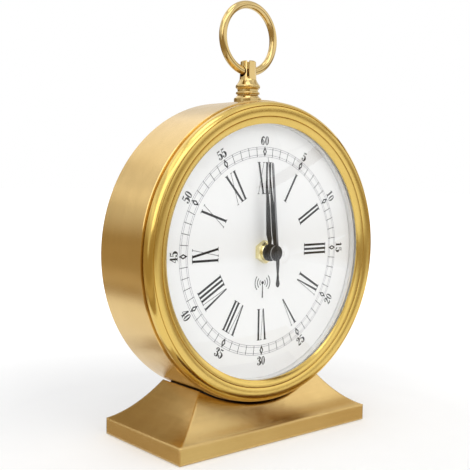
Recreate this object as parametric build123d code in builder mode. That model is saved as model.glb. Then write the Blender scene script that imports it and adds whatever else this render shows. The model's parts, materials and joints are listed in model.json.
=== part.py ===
from build123d import *
import os
from math import atan2, cos, pi, radians, sin, sqrt

# A table clock: a round metal drum on a flared base, with a ring on top and a quartz movement inside.
# Sizes are millimetres. The base rests at the origin, +Z is up and the dial faces -Y.
# Depths in the clock's head are given as how far forward of the base's middle they lie.

# Fits
running_clearance = 0.08
slip_clearance = 0.2
seat_gap = 0.3
overrun = 2.0

# Base casting
base_width = 135.0
base_depth = 68.0
plinth_height = 9.2
base_top_width = 84.4
base_top_depth = 32.4
base_wall = 2.6
rim_above_table = 0.4
hip_run_share = 0.5
hip_rise_share = 0.225

# Base closing plate, its screws and the felt
bottom_plate_thickness = 1.5
felt_thickness = 1.0
plate_screw_end_inset = 12.5
plate_screw_side_inset = 10.0
plate_boss_radius = 4.0
plate_screw_radius = 1.5
plate_screw_head_radius = 2.8
plate_screw_length = 8.0

# Drum
drum_radius = 82.3
saddle_height = 19.0
drum_wall = 1.5
drum_front = 19.9
drum_rear = -17.0
drum_edge_round = 0.9
ledge_width = 6.8
ledge_thickness = 1.5
back_plate_thickness = 2.0
back_plate_recess = 4.0

# Saddle between the drum and the base
saddle_gap = 0.8
saddle_pad_width = 76.0
saddle_pad_inset = 1.4
saddle_screw_spacing = 12.0
saddle_screw_centre = 1.0
saddle_screw_radius = 2.5
saddle_screw_head_radius = 4.4
saddle_screw_head_height = 2.8
nut_plate_width = 26.0
nut_plate_depth = 20.0
nut_plate_thickness = 2.6

# Bezel: its steps forward, and how far in from its rim they lie
bezel_step = 0.8
bezel_heel = 1.2
bezel_shoulder = 22.4
bezel_front = 26.6
outer_groove_inset = 2.6
inner_groove_inset = 8.1
inner_groove_front = 25.9
pocket_inset = 8.6
lip_inset = 11.9
lip_front = 24.3
lip_depth = 0.9
groove_width = 0.5
groove_depth = 0.5
band_bulge = 0.35
spigot_wall = 2.7
spigot_rear = 14.7

# Glass and its packing
glass_thickness = 1.4
glass_rim_width = 3.3
glass_apex = 33.3
gasket_thickness = 0.4

# Dial
dial_front = 17.7
dial_thickness = 0.6
clip_count = 6
clip_width = 9.0
clip_thickness = 0.8
clip_grip = 3.7
clip_screw_radius = 0.9
clip_screw_head_radius = 1.4
clip_screw_head_height = 1.0
clip_screw_length = 5.0

# Posts between the dial plate and the back plate
post_offset_share = 0.618
post_radius = 4.0
post_stud_radius = 2.0
post_screw_radius = 1.4
post_screw_head_radius = 3.0
post_screw_head_height = 1.8
post_screw_depth = 8.0
window_margin = 3.0
window_corner = 3.0

# Finial and ring
finial_forward = 2.7
flange_radius = 7.7
flange_height = 2.9
bead_radius = 6.7
bead_height = 4.7
bead_thickness = 1.6
neck_radius = 5.8
neck_height = 6.6
bell_radius = 6.8
bell_height = 8.4
bell_top_height = 12.4
post_foot_radius = 4.7
post_top_radius = 4.3
post_top_height = 22.4
post_chamfer = 0.5
split_width = 1.1
split_web = 2.4
split_bottom_height = 13.2
split_turn = -42.0
finial_stud_radius = 2.5
finial_stud_length = 9.0
finial_washer_radius = 5.5
finial_washer_thickness = 0.8
finial_nut_width = 8.0
finial_nut_height = 3.5
ring_radius = 18.36
ring_wire_radius = 2.17
pivot_height = 16.4

# Movement case
movement_size = 56.0
movement_wall = 1.2
movement_front = 13.7
movement_split = 4.7
movement_rear = -3.6
movement_rear_wall = 1.0
bush_radius = 4.5
bush_front = 22.0
bush_flange_radius = 6.5
bush_flange_thickness = 0.6
rubber_washer_radius = 9.0
dial_nut_width = 11.0
dial_nut_thickness = 3.2
dial_nut_boss_radius = 5.0

# Shafts and pipes through the dial
sweep_shaft_radius = 0.92
pipe_wall = 0.75
short_pipe_wall = 0.67
arbor_radius = 0.5
pivot_depth = 0.5

# Hands: where their hubs stand and how far they reach
short_hub_rear = 22.6
long_hub_rear = 27.2
sweep_hub_rear = 28.8
short_hub_radius = 4.7
long_hub_radius = 4.2
sweep_hub_radius = 1.7
hub_thickness = 1.4
sweep_hub_thickness = 1.5
blade_thickness = 0.5
blade_set_back = 0.2
short_hand_half_width = 2.1
long_hand_half_width = 2.0
sweep_hand_half_width = 0.62
sweep_tail_half_width = 1.2
short_hand_drop = 1.4
long_hand_drop = 4.2
sweep_hand_drop = 4.3
short_hand_reach_share = 0.575
long_hand_reach_share = 0.75
sweep_hand_reach_share = 0.704
sweep_tail_reach_share = 0.266
hour_hand_turn = -3.3
minute_hand_turn = -3.6
second_hand_turn = -1.1
hour_hand_shares = ((0, 0.35), (0.11, 0.43), (0.25, 1), (0.53, 0.71), (0.73, 0.45), (1, 0))
minute_hand_shares = ((0, 0.5), (0.08, 0.65), (0.19, 1), (0.24, 1), (0.38, 0.8), (0.5, 0.6),
                      (0.65, 0.35), (0.8, 0.22), (1, 0))
second_hand_shares = ((0, 1), (0.98, 1), (1, 0))
second_tail_shares = ((0, 0.9), (0.32, 0.83), (0.6, 0.42), (0.76, 0.62), (0.89, 1), (0.96, 0.75), (1, 0))

# Wheels of the movement: the pitch circle's width for each tooth, teeth and layers
tooth_size = 0.3
hour_teeth = 40
hour_pinion_teeth = 10
motion_teeth = 42
cannon_teeth = 14
minute_teeth = 60
minute_pinion_teeth = 8
third_teeth = 48
rotor_teeth = 6
seconds_teeth = 48
seconds_pinion_teeth = 8
fourth_teeth = 30
wheel_thickness = 0.7
pinion_overlap = 0.3
short_layer = 11.6
motion_layer = 10.4
long_layer = 9.3
centre_plate_rear = 8.1
plate_thickness = 0.8
rotor_wheel_layer = 7.0
sweep_layer = 5.7
rear_plate_front = 1.6
motion_turn = 0.0
third_turn = -45.0
minute_rotor_turn = -60.0
fourth_turn = 60.0
seconds_rotor_turn = 60.0
tooth_root_share = 0.9
tooth_tip_share = 0.5
root_half_share = 0.235
tip_half_share = 0.1

# Motors
rotor_radius = 2.2
rotor_front = 6.2
rotor_rear = 3.6
stator_front = 5.4
stator_thickness = 1.0
stator_half = 3.6
stator_bar = 2.4
stator_slit = 0.5
stator_foot_radius = 1.1
rotor_air_gap = 0.5
coil_x = 21.5
coil_radius = 3.0
coil_low = 2.4
coil_high = 12.6
stator_low = 0.2
stator_high = 15.0

# Electronics
board_thickness = 1.0
board_margin = 0.6
board_bottom = -9.6
chip_size = 8.0
chip_thickness = 1.0
chip_x = -10.0
chip_z = 3.0
crystal_radius = 1.0
crystal_length = 6.0
crystal_x = 8.0
crystal_z = 2.0
antenna_radius = 3.0
antenna_length = 42.0
antenna_z = 23.0
antenna_forward = 8.5
antenna_coil_radius = 3.6
antenna_coil_length = 24.0
cradle_width = 4.0
button_radius = 2.0
button_flange_radius = 2.7
button_flange_thickness = 0.6
button_proud = 0.8
button_spacing = 9.0
button_z = 17.0
button_travel = 0.5
switch_size = 4.0
plate_pillar_radius = 1.5
upper_pillar_x = 8.0
upper_pillar_z = 17.5
lower_pillar_x = 16.5
lower_pillar_z = -7.8

# Battery and its bay
bay_wall = 0.8
battery_radius = 7.1
battery_length = 48.8
battery_nub_radius = 2.7
battery_nub_length = 1.0
contact_thickness = 0.3
contact_width = 9.0
contact_leaf_width = 3.0
contact_leaf_reach = 1.2

# Sizes that follow from the ones above
barrel_radius = drum_radius - drum_wall
saddle_radius = drum_radius + saddle_gap
dial_height = saddle_height + saddle_radius
drum_top = dial_height + drum_radius
base_top_height = dial_height - sqrt(saddle_radius ** 2 - (base_top_width / 2) ** 2)
plate_screw_x = base_width / 2 - plate_screw_end_inset
plate_screw_y = base_depth / 2 - plate_screw_side_inset
bezel_radius = drum_radius - bezel_step
outer_groove_radius = bezel_radius - outer_groove_inset
inner_groove_radius = bezel_radius - inner_groove_inset
bezel_pocket_radius = bezel_radius - pocket_inset
lip_radius = bezel_radius - lip_inset
spigot_radius = barrel_radius - slip_clearance
dial_pocket_radius = spigot_radius - spigot_wall
glass_seat = lip_front - lip_depth
glass_front = glass_seat - gasket_thickness
glass_rear = glass_front - glass_thickness
glass_radius = bezel_pocket_radius - seat_gap
dial_rear = dial_front - dial_thickness
dial_radius = dial_pocket_radius - slip_clearance
clip_inner_radius = dial_radius - clip_grip
post_offset = dial_radius * post_offset_share
window_size = movement_size + 2 * window_margin
ledge_rear = drum_rear + back_plate_recess + back_plate_thickness
back_plate_rear = drum_rear + back_plate_recess
long_pipe_bore = sweep_shaft_radius + running_clearance
long_pipe_radius = long_pipe_bore + pipe_wall
short_pipe_bore = long_pipe_radius + running_clearance
short_pipe_radius = short_pipe_bore + short_pipe_wall
bush_bore = short_pipe_radius + running_clearance
short_hand_length = lip_radius * short_hand_reach_share
long_hand_length = lip_radius * long_hand_reach_share
sweep_hand_length = lip_radius * sweep_hand_reach_share
sweep_tail_length = lip_radius * sweep_tail_reach_share
movement_inner = movement_front - movement_wall
rear_inner = movement_rear + movement_rear_wall
centre_plate_front = centre_plate_rear + plate_thickness
rear_plate_rear = rear_plate_front - plate_thickness
board_rear = rear_plate_rear - board_thickness
stator_rear = stator_front - stator_thickness
movement_half = movement_size / 2
inner_half = movement_half - movement_wall
pivot_z = drum_top + pivot_height
ring_centre_z = pivot_z + ring_radius
bay_width = battery_length + battery_nub_length + contact_leaf_reach + 2 * contact_thickness
bay_height = 2 * battery_radius + 2 * seat_gap
bay_depth = 2 * battery_radius + 3 * seat_gap
bay_half = bay_width / 2
bay_top = -inner_half + slip_clearance + bay_wall + bay_height
bay_middle = bay_top - bay_height / 2
bay_floor = movement_rear + bay_depth
battery_forward = movement_rear + battery_radius + running_clearance

CENTRED = (Align.CENTER, Align.CENTER, Align.MIN)
half_turn = 180
os.makedirs("parts", exist_ok=True)


def facing(forward, x=0, z=0):
    """A plane square to the dial's axis, x to the right and z up from the dial's centre."""
    return Plane(origin=(x, -forward, dial_height + z), x_dir=(1, 0, 0), z_dir=(0, -1, 0))


# In this plane x is how far forward a point lies and y is its distance from the dial's axis.
half_section = Plane(origin=(0, 0, dial_height), x_dir=(0, -1, 0), z_dir=(-1, 0, 0))
dial_axis = Axis((0, 0, dial_height), (0, -1, 0))


def rod(plane, radius, length, mode=Mode.ADD):
    """A round bar that rises from a plane."""
    with Locations(plane):
        Cylinder(radius, length, align=CENTRED, mode=mode)


def block(plane, width, height, length, mode=Mode.ADD):
    """A rectangular bar that rises from a plane."""
    with Locations(plane):
        Box(width, height, length, align=CENTRED, mode=mode)


def between(rear, front, radius, x=0, z=0, mode=Mode.ADD):
    """A round bar along the dial's axis from one depth to another."""
    rod(facing(rear, x, z), radius, front - rear, mode)


def polar(distance, turn):
    """The place this far from the dial's centre, turned clockwise from up."""
    return distance * sin(radians(turn)), distance * cos(radians(turn))


def finish(piece, name):
    """Names a piece and writes it."""
    piece.part.label = name
    export_step(piece.part, f"parts/{name}.step")


def flared_block(foot_width, foot_depth, foot_height, top_width, top_depth, top_height, bottom):
    """A plinth with four sides that sweep up in a curve to a smaller top."""

    def outline(foot, top):
        foot_half, top_half = foot / 2, top / 2
        rise = top_height - foot_height
        waist = foot_half - (foot_half - top_half) * hip_run_share
        for side in (1, -1):
            Line((side * foot_half, bottom), (side * foot_half, foot_height))
            Bezier((side * foot_half, foot_height), (side * waist, foot_height + rise * hip_rise_share),
                   (side * top_half, top_height))
        Line((-top_half, top_height), (top_half, top_height))
        Line((-foot_half, bottom), (foot_half, bottom))

    with BuildPart() as piece:
        with BuildSketch(Plane.XZ):
            with BuildLine():
                outline(foot_width, top_width)
            make_face()
        extrude(amount=foot_depth, both=True)
        with BuildSketch(Plane.YZ):
            with BuildLine():
                outline(foot_depth, top_depth)
            make_face()
        extrude(amount=foot_width, both=True, mode=Mode.INTERSECT)
    return piece.part


def toothed_wheel(rear, teeth, thickness, centre, turn, size=tooth_size):
    """A toothed disc with one tooth along the given turn."""
    pitch_radius = size * teeth / 2
    root, tip = pitch_radius - size * tooth_root_share, pitch_radius + size * tooth_tip_share
    step = 2 * pi / teeth
    points = []
    for tooth in range(teeth):
        middle = radians(turn) + step * tooth
        for radius, share in ((root, -root_half_share), (tip, -tip_half_share),
                              (tip, tip_half_share), (root, root_half_share)):
            angle = middle + step * share
            points.append((radius * sin(angle), radius * cos(angle)))
    with BuildSketch(facing(rear, *centre)) as outline:
        with BuildLine():
            Polyline(*points, close=True)
        make_face()
    extrude(outline.sketch, amount=thickness)


def blade(hub_front, turn, drop, length, half_width, shares):
    """A flat hand whose tip lies lower than its hub, from shares of its length and half width."""
    points = [(half_width * width, length * along) for along, width in shares]
    points += [(-half_width * width, length * along) for along, width in reversed(shares) if width > 0]
    lean = atan2(drop, length)
    angle = radians(turn)
    plane = Plane(origin=facing(hub_front - blade_set_back).origin, x_dir=(cos(angle), 0, -sin(angle)),
                  z_dir=(sin(angle) * sin(lean), -cos(lean), cos(angle) * sin(lean)))
    with BuildSketch(plane) as outline:
        with BuildLine():
            Polyline(*points, close=True)
        make_face()
    extrude(outline.sketch, amount=-blade_thickness)


# Base
cavity_drop = base_wall / 2
cavity = flared_block(base_width - 2 * base_wall, base_depth - 2 * base_wall, plinth_height - cavity_drop,
                      base_top_width - 2 * base_wall, base_top_depth - 2 * base_wall,
                      base_top_height - cavity_drop, -overrun)
plate_floor = felt_thickness
plate_top = plate_floor + bottom_plate_thickness
plate_screw_places = [(x, y) for x in (-plate_screw_x, plate_screw_x)
                      for y in (-plate_screw_y, plate_screw_y)]
saddle_screw_places = [-saddle_screw_centre + step * saddle_screw_spacing / 2 for step in (-1, 1)]

with BuildPart() as base_cavity:
    add(cavity)
    with Locations(facing(-base_depth)):
        Cylinder(saddle_radius + base_wall, 2 * base_depth, align=CENTRED, mode=Mode.SUBTRACT)
    with Locations(*[(x, y, plate_top) for x, y in plate_screw_places]):
        Cylinder(plate_boss_radius, base_top_height, align=CENTRED, mode=Mode.SUBTRACT)

with BuildPart() as base_casting:
    add(flared_block(base_width, base_depth, plinth_height, base_top_width, base_top_depth,
                     base_top_height, rim_above_table))
    rod(facing(-base_depth), saddle_radius, 2 * base_depth, Mode.SUBTRACT)
    add(base_cavity.part, mode=Mode.SUBTRACT)
    with Locations(*[(x, y, plate_top) for x, y in plate_screw_places]):
        Cylinder(plate_screw_radius, plate_screw_length - bottom_plate_thickness + seat_gap,
                 align=CENTRED, mode=Mode.SUBTRACT)
    with Locations(*[(0, y, 0) for y in saddle_screw_places]):
        Cylinder(saddle_screw_radius + slip_clearance, base_top_height, align=CENTRED, mode=Mode.SUBTRACT)
finish(base_casting, "base_casting")

with BuildPart() as bottom_plate:
    with Locations((0, 0, plate_floor)):
        Box(base_width - 2 * base_wall - 2 * slip_clearance, base_depth - 2 * base_wall - 2 * slip_clearance,
            bottom_plate_thickness, align=CENTRED)
    with Locations(*[(x, y, plate_floor) for x, y in plate_screw_places]):
        Cone(plate_screw_head_radius + slip_clearance / 2, plate_screw_radius + slip_clearance / 2,
             bottom_plate_thickness, align=CENTRED, mode=Mode.SUBTRACT)
finish(bottom_plate, "bottom_plate")

with BuildPart() as bottom_plate_screws:
    with Locations(*[(x, y, plate_floor) for x, y in plate_screw_places]):
        Cone(plate_screw_head_radius, plate_screw_radius, bottom_plate_thickness, align=CENTRED)
    with Locations(*[(x, y, plate_top) for x, y in plate_screw_places]):
        Cylinder(plate_screw_radius, plate_screw_length - bottom_plate_thickness, align=CENTRED)
finish(bottom_plate_screws, "bottom_plate_screws")

with BuildPart() as felt_pad:
    with BuildSketch():
        RectangleRounded(base_width - 2 * base_wall - 4 * slip_clearance,
                         base_depth - 2 * base_wall - 4 * slip_clearance, base_wall)
    extrude(amount=felt_thickness)
finish(felt_pad, "felt_pad")

with BuildPart() as saddle_pad:
    with Locations((0, 0, 0)):
        Box(saddle_pad_width, base_top_depth - 2 * saddle_pad_inset, base_top_height, align=CENTRED)
    rod(facing(-base_depth), saddle_radius, 2 * base_depth, Mode.INTERSECT)
    rod(facing(-base_depth), drum_radius, 2 * base_depth, Mode.SUBTRACT)
    with Locations(*[(0, y, 0) for y in saddle_screw_places]):
        Cylinder(saddle_screw_radius + slip_clearance, base_top_height, align=CENTRED, mode=Mode.SUBTRACT)
finish(saddle_pad, "saddle_pad")

roof_underside = dial_height - saddle_radius - base_wall
screw_top = dial_height - barrel_radius + nut_plate_thickness
with BuildPart() as saddle_screws:
    with Locations(*[(0, y, roof_underside - saddle_screw_head_height) for y in saddle_screw_places]):
        Cylinder(saddle_screw_head_radius, saddle_screw_head_height, align=CENTRED)
        Cylinder(saddle_screw_radius, screw_top - roof_underside + saddle_screw_head_height, align=CENTRED)
    with Locations(*[(0, y, roof_underside - saddle_screw_head_height) for y in saddle_screw_places]):
        Box(saddle_screw_head_radius, saddle_screw_radius / 2, saddle_screw_head_height / 2,
            align=CENTRED, mode=Mode.SUBTRACT)
finish(saddle_screws, "saddle_screws")

with BuildPart() as saddle_nut_plate:
    with Locations((0, -saddle_screw_centre, dial_height - barrel_radius)):
        Box(nut_plate_width, nut_plate_depth, 2 * nut_plate_thickness, align=CENTRED)
    rod(facing(-base_depth), barrel_radius, 2 * base_depth, Mode.INTERSECT)
    rod(facing(-base_depth), barrel_radius - nut_plate_thickness, 2 * base_depth, Mode.SUBTRACT)
    with Locations(*[(0, y, 0) for y in saddle_screw_places]):
        Cylinder(saddle_screw_radius, dial_height, align=CENTRED, mode=Mode.SUBTRACT)
finish(saddle_nut_plate, "saddle_nut_plate")

# Drum and back
with BuildPart() as drum_case:
    with BuildSketch(half_section):
        with BuildLine():
            Polyline((drum_front, barrel_radius), (drum_front, drum_radius - drum_edge_round / 3),
                     (drum_front - drum_edge_round / 3, drum_radius),
                     (drum_rear + drum_edge_round, drum_radius),
                     (drum_rear, drum_radius - drum_edge_round), (drum_rear, barrel_radius),
                     (ledge_rear, barrel_radius), (ledge_rear, barrel_radius - ledge_width),
                     (ledge_rear + ledge_thickness, barrel_radius - ledge_width),
                     (ledge_rear + ledge_thickness, barrel_radius), close=True)
        make_face()
    revolve(axis=dial_axis)
    with Locations((0, -finial_forward, dial_height)):
        Cylinder(finial_stud_radius + slip_clearance, 2 * drum_radius, align=CENTRED, mode=Mode.SUBTRACT)
    with Locations(*[(0, y, 0) for y in saddle_screw_places]):
        Cylinder(saddle_screw_radius + slip_clearance, dial_height, align=CENTRED, mode=Mode.SUBTRACT)
finish(drum_case, "drum_case")

post_places = [(x, z) for x in (-post_offset, post_offset) for z in (-post_offset, post_offset)]
with BuildPart() as back_plate:
    between(back_plate_rear, ledge_rear, barrel_radius - seat_gap)
    with BuildSketch(facing(back_plate_rear)) as window:
        RectangleRounded(window_size, window_size, window_corner)
    extrude(window.sketch, amount=back_plate_thickness, mode=Mode.SUBTRACT)
    with Locations(*[facing(back_plate_rear, x, z) for x, z in post_places]):
        Cylinder(post_screw_radius + slip_clearance, back_plate_thickness, align=CENTRED, mode=Mode.SUBTRACT)
finish(back_plate, "back_plate")

with BuildPart() as case_posts:
    for x, z in post_places:
        between(ledge_rear, spigot_rear, post_radius, x, z)
        between(spigot_rear, dial_rear, post_stud_radius, x, z)
        between(ledge_rear, ledge_rear + post_screw_depth + seat_gap, post_screw_radius, x, z, Mode.SUBTRACT)
finish(case_posts, "case_posts")

with BuildPart() as back_plate_screws:
    for x, z in post_places:
        between(back_plate_rear - post_screw_head_height, back_plate_rear, post_screw_head_radius, x, z)
        between(back_plate_rear, ledge_rear + post_screw_depth, post_screw_radius, x, z)
        for width, height in ((1, 1 / 4), (1 / 4, 1)):
            block(facing(back_plate_rear - post_screw_head_height, x, z), post_screw_head_radius * width,
                  post_screw_head_radius * height, post_screw_head_height / 2, Mode.SUBTRACT)
finish(back_plate_screws, "back_plate_screws")

# Bezel, glass and dial
with BuildPart() as bezel:
    with BuildSketch(half_section):
        with BuildLine():
            band_drop = (bezel_front - inner_groove_front) / (outer_groove_radius - inner_groove_radius)
            Line((drum_front, spigot_radius), (drum_front, bezel_radius - bezel_heel))
            ThreePointArc((drum_front, bezel_radius - bezel_heel),
                          (bezel_shoulder - (bezel_shoulder - drum_front) * cos(pi / 4),
                           bezel_radius - bezel_heel * (1 - sin(pi / 4))),
                          (bezel_shoulder, bezel_radius))
            ThreePointArc((bezel_shoulder, bezel_radius),
                          (bezel_shoulder + (bezel_front - bezel_shoulder) * sin(pi / 4),
                           bezel_radius - (bezel_radius - outer_groove_radius) * (1 - cos(pi / 4))),
                          (bezel_front, outer_groove_radius + groove_width / 2))
            Polyline((bezel_front, outer_groove_radius + groove_width / 2),
                     (bezel_front - groove_depth, outer_groove_radius),
                     (bezel_front - groove_width * band_drop, outer_groove_radius - groove_width / 2))
            ThreePointArc((bezel_front - groove_width * band_drop, outer_groove_radius - groove_width / 2),
                          ((bezel_front - groove_width * band_drop + inner_groove_front) / 2 + band_bulge,
                           (outer_groove_radius + inner_groove_radius) / 2),
                          (inner_groove_front, inner_groove_radius + groove_width / 2))
            Polyline((inner_groove_front, inner_groove_radius + groove_width / 2),
                     (inner_groove_front - groove_depth, inner_groove_radius),
                     (inner_groove_front, inner_groove_radius - groove_width / 2))
            ThreePointArc((inner_groove_front, inner_groove_radius - groove_width / 2),
                          ((inner_groove_front + lip_front) / 2 + groove_width / 2,
                           (inner_groove_radius + lip_radius) / 2 - groove_width / 2),
                          (lip_front, lip_radius))
            Polyline((lip_front, lip_radius), (glass_seat, lip_radius), (glass_seat, bezel_pocket_radius),
                     (dial_front, bezel_pocket_radius), (dial_front, dial_pocket_radius),
                     (spigot_rear, dial_pocket_radius), (spigot_rear, spigot_radius),
                     (drum_front, spigot_radius))
        make_face()
    revolve(axis=dial_axis)
    clip_screw_circle = dial_pocket_radius + spigot_wall / 2
    clip_turns = [360 / clip_count * (clip + 1 / 2) for clip in range(clip_count)]
    for turn in clip_turns:
        between(spigot_rear, spigot_rear + clip_screw_length - clip_thickness + seat_gap, clip_screw_radius,
                *polar(clip_screw_circle, turn), mode=Mode.SUBTRACT)
finish(bezel, "bezel")

with BuildPart() as glass:
    with BuildSketch(half_section):
        with BuildLine():
            dome_radius = glass_radius - glass_rim_width
            dome_height = glass_apex - glass_front
            dome_sphere = (dome_radius ** 2 + dome_height ** 2) / (2 * dome_height)
            dome_middle = sqrt(dome_sphere ** 2 - (dome_radius / 2) ** 2) - dome_sphere
            Polyline((glass_apex - glass_thickness, 0), (glass_apex, 0))
            ThreePointArc((glass_apex, 0), (glass_apex + dome_middle, dome_radius / 2),
                          (glass_front, dome_radius))
            Polyline((glass_front, dome_radius), (glass_front, glass_radius), (glass_rear, glass_radius),
                     (glass_rear, dome_radius))
            ThreePointArc((glass_rear, dome_radius),
                          (glass_apex - glass_thickness + dome_middle, dome_radius / 2),
                          (glass_apex - glass_thickness, 0))
        make_face()
    revolve(axis=dial_axis)
finish(glass, "glass")

with BuildPart() as glass_gasket:
    between(glass_front, glass_seat, glass_radius)
    between(glass_front, glass_seat, lip_radius + slip_clearance, mode=Mode.SUBTRACT)
finish(glass_gasket, "glass_gasket")

with BuildPart() as spacer_ring:
    between(dial_front, glass_rear, glass_radius)
    between(dial_front, glass_rear, lip_radius + slip_clearance, mode=Mode.SUBTRACT)
finish(spacer_ring, "spacer_ring")

with BuildPart() as dial:
    between(dial_rear, dial_front, dial_radius)
    between(dial_rear, dial_front, bush_radius + slip_clearance, mode=Mode.SUBTRACT)
finish(dial, "dial")

with BuildPart() as dial_plate:
    between(spigot_rear, dial_rear, dial_radius)
    between(spigot_rear, dial_rear, bush_radius + slip_clearance, mode=Mode.SUBTRACT)
    for x, z in post_places:
        between(spigot_rear, dial_rear, post_stud_radius, x, z, Mode.SUBTRACT)
finish(dial_plate, "dial_plate")

clip_outer_radius = barrel_radius - seat_gap
with BuildPart() as dial_clips:
    for turn in clip_turns:
        middle = (clip_inner_radius + clip_outer_radius) / 2 - slip_clearance
        plane = facing(spigot_rear - clip_thickness, *polar(middle, turn)).rotated((0, 0, -turn))
        block(plane, clip_width, clip_outer_radius - clip_inner_radius - slip_clearance, clip_thickness)
    for turn in clip_turns:
        between(spigot_rear - clip_thickness, spigot_rear, clip_screw_radius + slip_clearance / 2,
                *polar(clip_screw_circle, turn), mode=Mode.SUBTRACT)
    between(spigot_rear - clip_thickness, spigot_rear, clip_outer_radius, mode=Mode.INTERSECT)
finish(dial_clips, "dial_clips")

with BuildPart() as dial_clip_screws:
    for turn in clip_turns:
        place = polar(clip_screw_circle, turn)
        head_front = spigot_rear - clip_thickness
        between(head_front - clip_screw_head_height, head_front, clip_screw_head_radius, *place)
        between(head_front, head_front + clip_screw_length, clip_screw_radius, *place)
finish(dial_clip_screws, "dial_clip_screws")

# Finial and ring
finial_axis = Axis((0, -finial_forward, 0), (0, 0, 1))
finial_section = Plane(origin=(0, -finial_forward, drum_top), x_dir=(1, 0, 0), z_dir=(0, -1, 0))
pivot_section = Plane(origin=(0, -finial_forward, pivot_z), x_dir=(1, 0, 0), z_dir=(0, -1, 0))
with BuildPart() as finial:
    with BuildSketch(finial_section):
        with BuildLine():
            corner = flange_height / 4
            Polyline((0, -drum_wall), (flange_radius, -drum_wall),
                     (flange_radius, flange_height - 2 * corner))
            ThreePointArc((flange_radius, flange_height - 2 * corner),
                          (flange_radius - corner * (1 - cos(pi / 4)),
                           flange_height - corner * (2 - sin(pi / 4))),
                          (flange_radius - corner, flange_height - corner))
            Line((flange_radius - corner, flange_height - corner), (neck_radius, flange_height + corner))
            Line((neck_radius, flange_height + corner), (neck_radius, bead_height - bead_thickness / 2))
            ThreePointArc((neck_radius, bead_height - bead_thickness / 2), (bead_radius, bead_height),
                          (neck_radius, bead_height + bead_thickness / 2))
            Line((neck_radius, bead_height + bead_thickness / 2), (neck_radius, neck_height))
            Line((neck_radius, neck_height), (bell_radius - corner, neck_height + corner / 2))
            ThreePointArc((bell_radius - corner, neck_height + corner / 2),
                          (bell_radius, (neck_height + bell_height) / 2 + corner / 2),
                          (bell_radius - corner / 4, bell_height + corner))
            Bezier((bell_radius - corner / 4, bell_height + corner),
                   (post_foot_radius + corner / 4, bell_height + flange_height),
                   (post_foot_radius, bell_top_height))
            Polyline((post_foot_radius, bell_top_height), (post_top_radius, post_top_height - post_chamfer),
                     (post_top_radius - post_chamfer, post_top_height), (0, post_top_height),
                     (0, -drum_wall))
        make_face()
    revolve(axis=finial_axis)
    rod(facing(-base_depth), drum_radius, 2 * base_depth, Mode.SUBTRACT)
    with Locations((0, -finial_forward, drum_top - finial_stud_length)):
        Cylinder(finial_stud_radius, finial_stud_length + flange_height, align=CENTRED)
    with BuildSketch(pivot_section):
        with BuildLine():
            hole_half = post_foot_radius + overrun
            mouth = sqrt((ring_radius - ring_wire_radius - running_clearance) ** 2 - hole_half ** 2)
            Polyline((-hole_half, ring_radius - mouth), (-hole_half, 0), (hole_half, 0),
                     (hole_half, ring_radius - mouth))
            ThreePointArc((hole_half, ring_radius - mouth), (0, ring_wire_radius + running_clearance),
                          (-hole_half, ring_radius - mouth))
        make_face()
    revolve(axis=Axis((0, -finial_forward, pivot_z), (1, 0, 0)), mode=Mode.SUBTRACT)
    with Locations(Location((0, -finial_forward, drum_top + split_bottom_height), (0, 0, split_turn))):
        with Locations((0, post_top_radius - split_web, 0)):
            Box(split_width, 2 * bell_radius, post_top_height,
                align=(Align.CENTER, Align.MAX, Align.MIN), mode=Mode.SUBTRACT)
finish(finial, "finial")

finial_seat = dial_height + sqrt(barrel_radius ** 2 - finial_washer_radius ** 2)
with BuildPart() as finial_washer:
    with Locations((0, -finial_forward, finial_seat - finial_washer_thickness)):
        Cylinder(finial_washer_radius, finial_washer_thickness, align=CENTRED)
        Cylinder(finial_stud_radius + slip_clearance / 2, finial_washer_thickness, align=CENTRED,
                 mode=Mode.SUBTRACT)
finish(finial_washer, "finial_washer")

with BuildPart() as finial_nut:
    nut_plane = Plane.XY.offset(finial_seat - finial_washer_thickness - finial_nut_height)
    with BuildSketch(nut_plane):
        with Locations((0, -finial_forward)):
            RegularPolygon(finial_nut_width / 2, 6, major_radius=False)
            Circle(finial_stud_radius, mode=Mode.SUBTRACT)
    extrude(amount=finial_nut_height)
finish(finial_nut, "finial_nut")

with BuildPart() as hanging_ring:
    with Locations(Location((0, -finial_forward, ring_centre_z), (90, 0, 0))):
        Torus(ring_radius, ring_wire_radius)
finish(hanging_ring, "hanging_ring")

# Places of the movement's arbors
centre = (0, 0)
motion_place = polar(tooth_size * (motion_teeth + cannon_teeth) / 2, motion_turn)
hour_tooth_size = tooth_size * (motion_teeth + cannon_teeth) / (hour_teeth + hour_pinion_teeth)
third_place = polar(tooth_size * (minute_teeth + minute_pinion_teeth) / 2, third_turn)
third_reach = polar(tooth_size * (third_teeth + rotor_teeth) / 2, minute_rotor_turn)
minute_rotor_place = (third_place[0] + third_reach[0], third_place[1] + third_reach[1])
fourth_place = polar(tooth_size * (seconds_teeth + seconds_pinion_teeth) / 2, fourth_turn)
fourth_reach = polar(tooth_size * (fourth_teeth + rotor_teeth) / 2, seconds_rotor_turn)
seconds_rotor_place = (fourth_place[0] + fourth_reach[0], fourth_place[1] + fourth_reach[1])
pillar_places = [(side * upper_pillar_x, upper_pillar_z) for side in (-1, 1)]
pillar_places += [(side * lower_pillar_x, lower_pillar_z) for side in (-1, 1)]
button_places = [((step - 1) * button_spacing, button_z) for step in range(3)]

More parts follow.
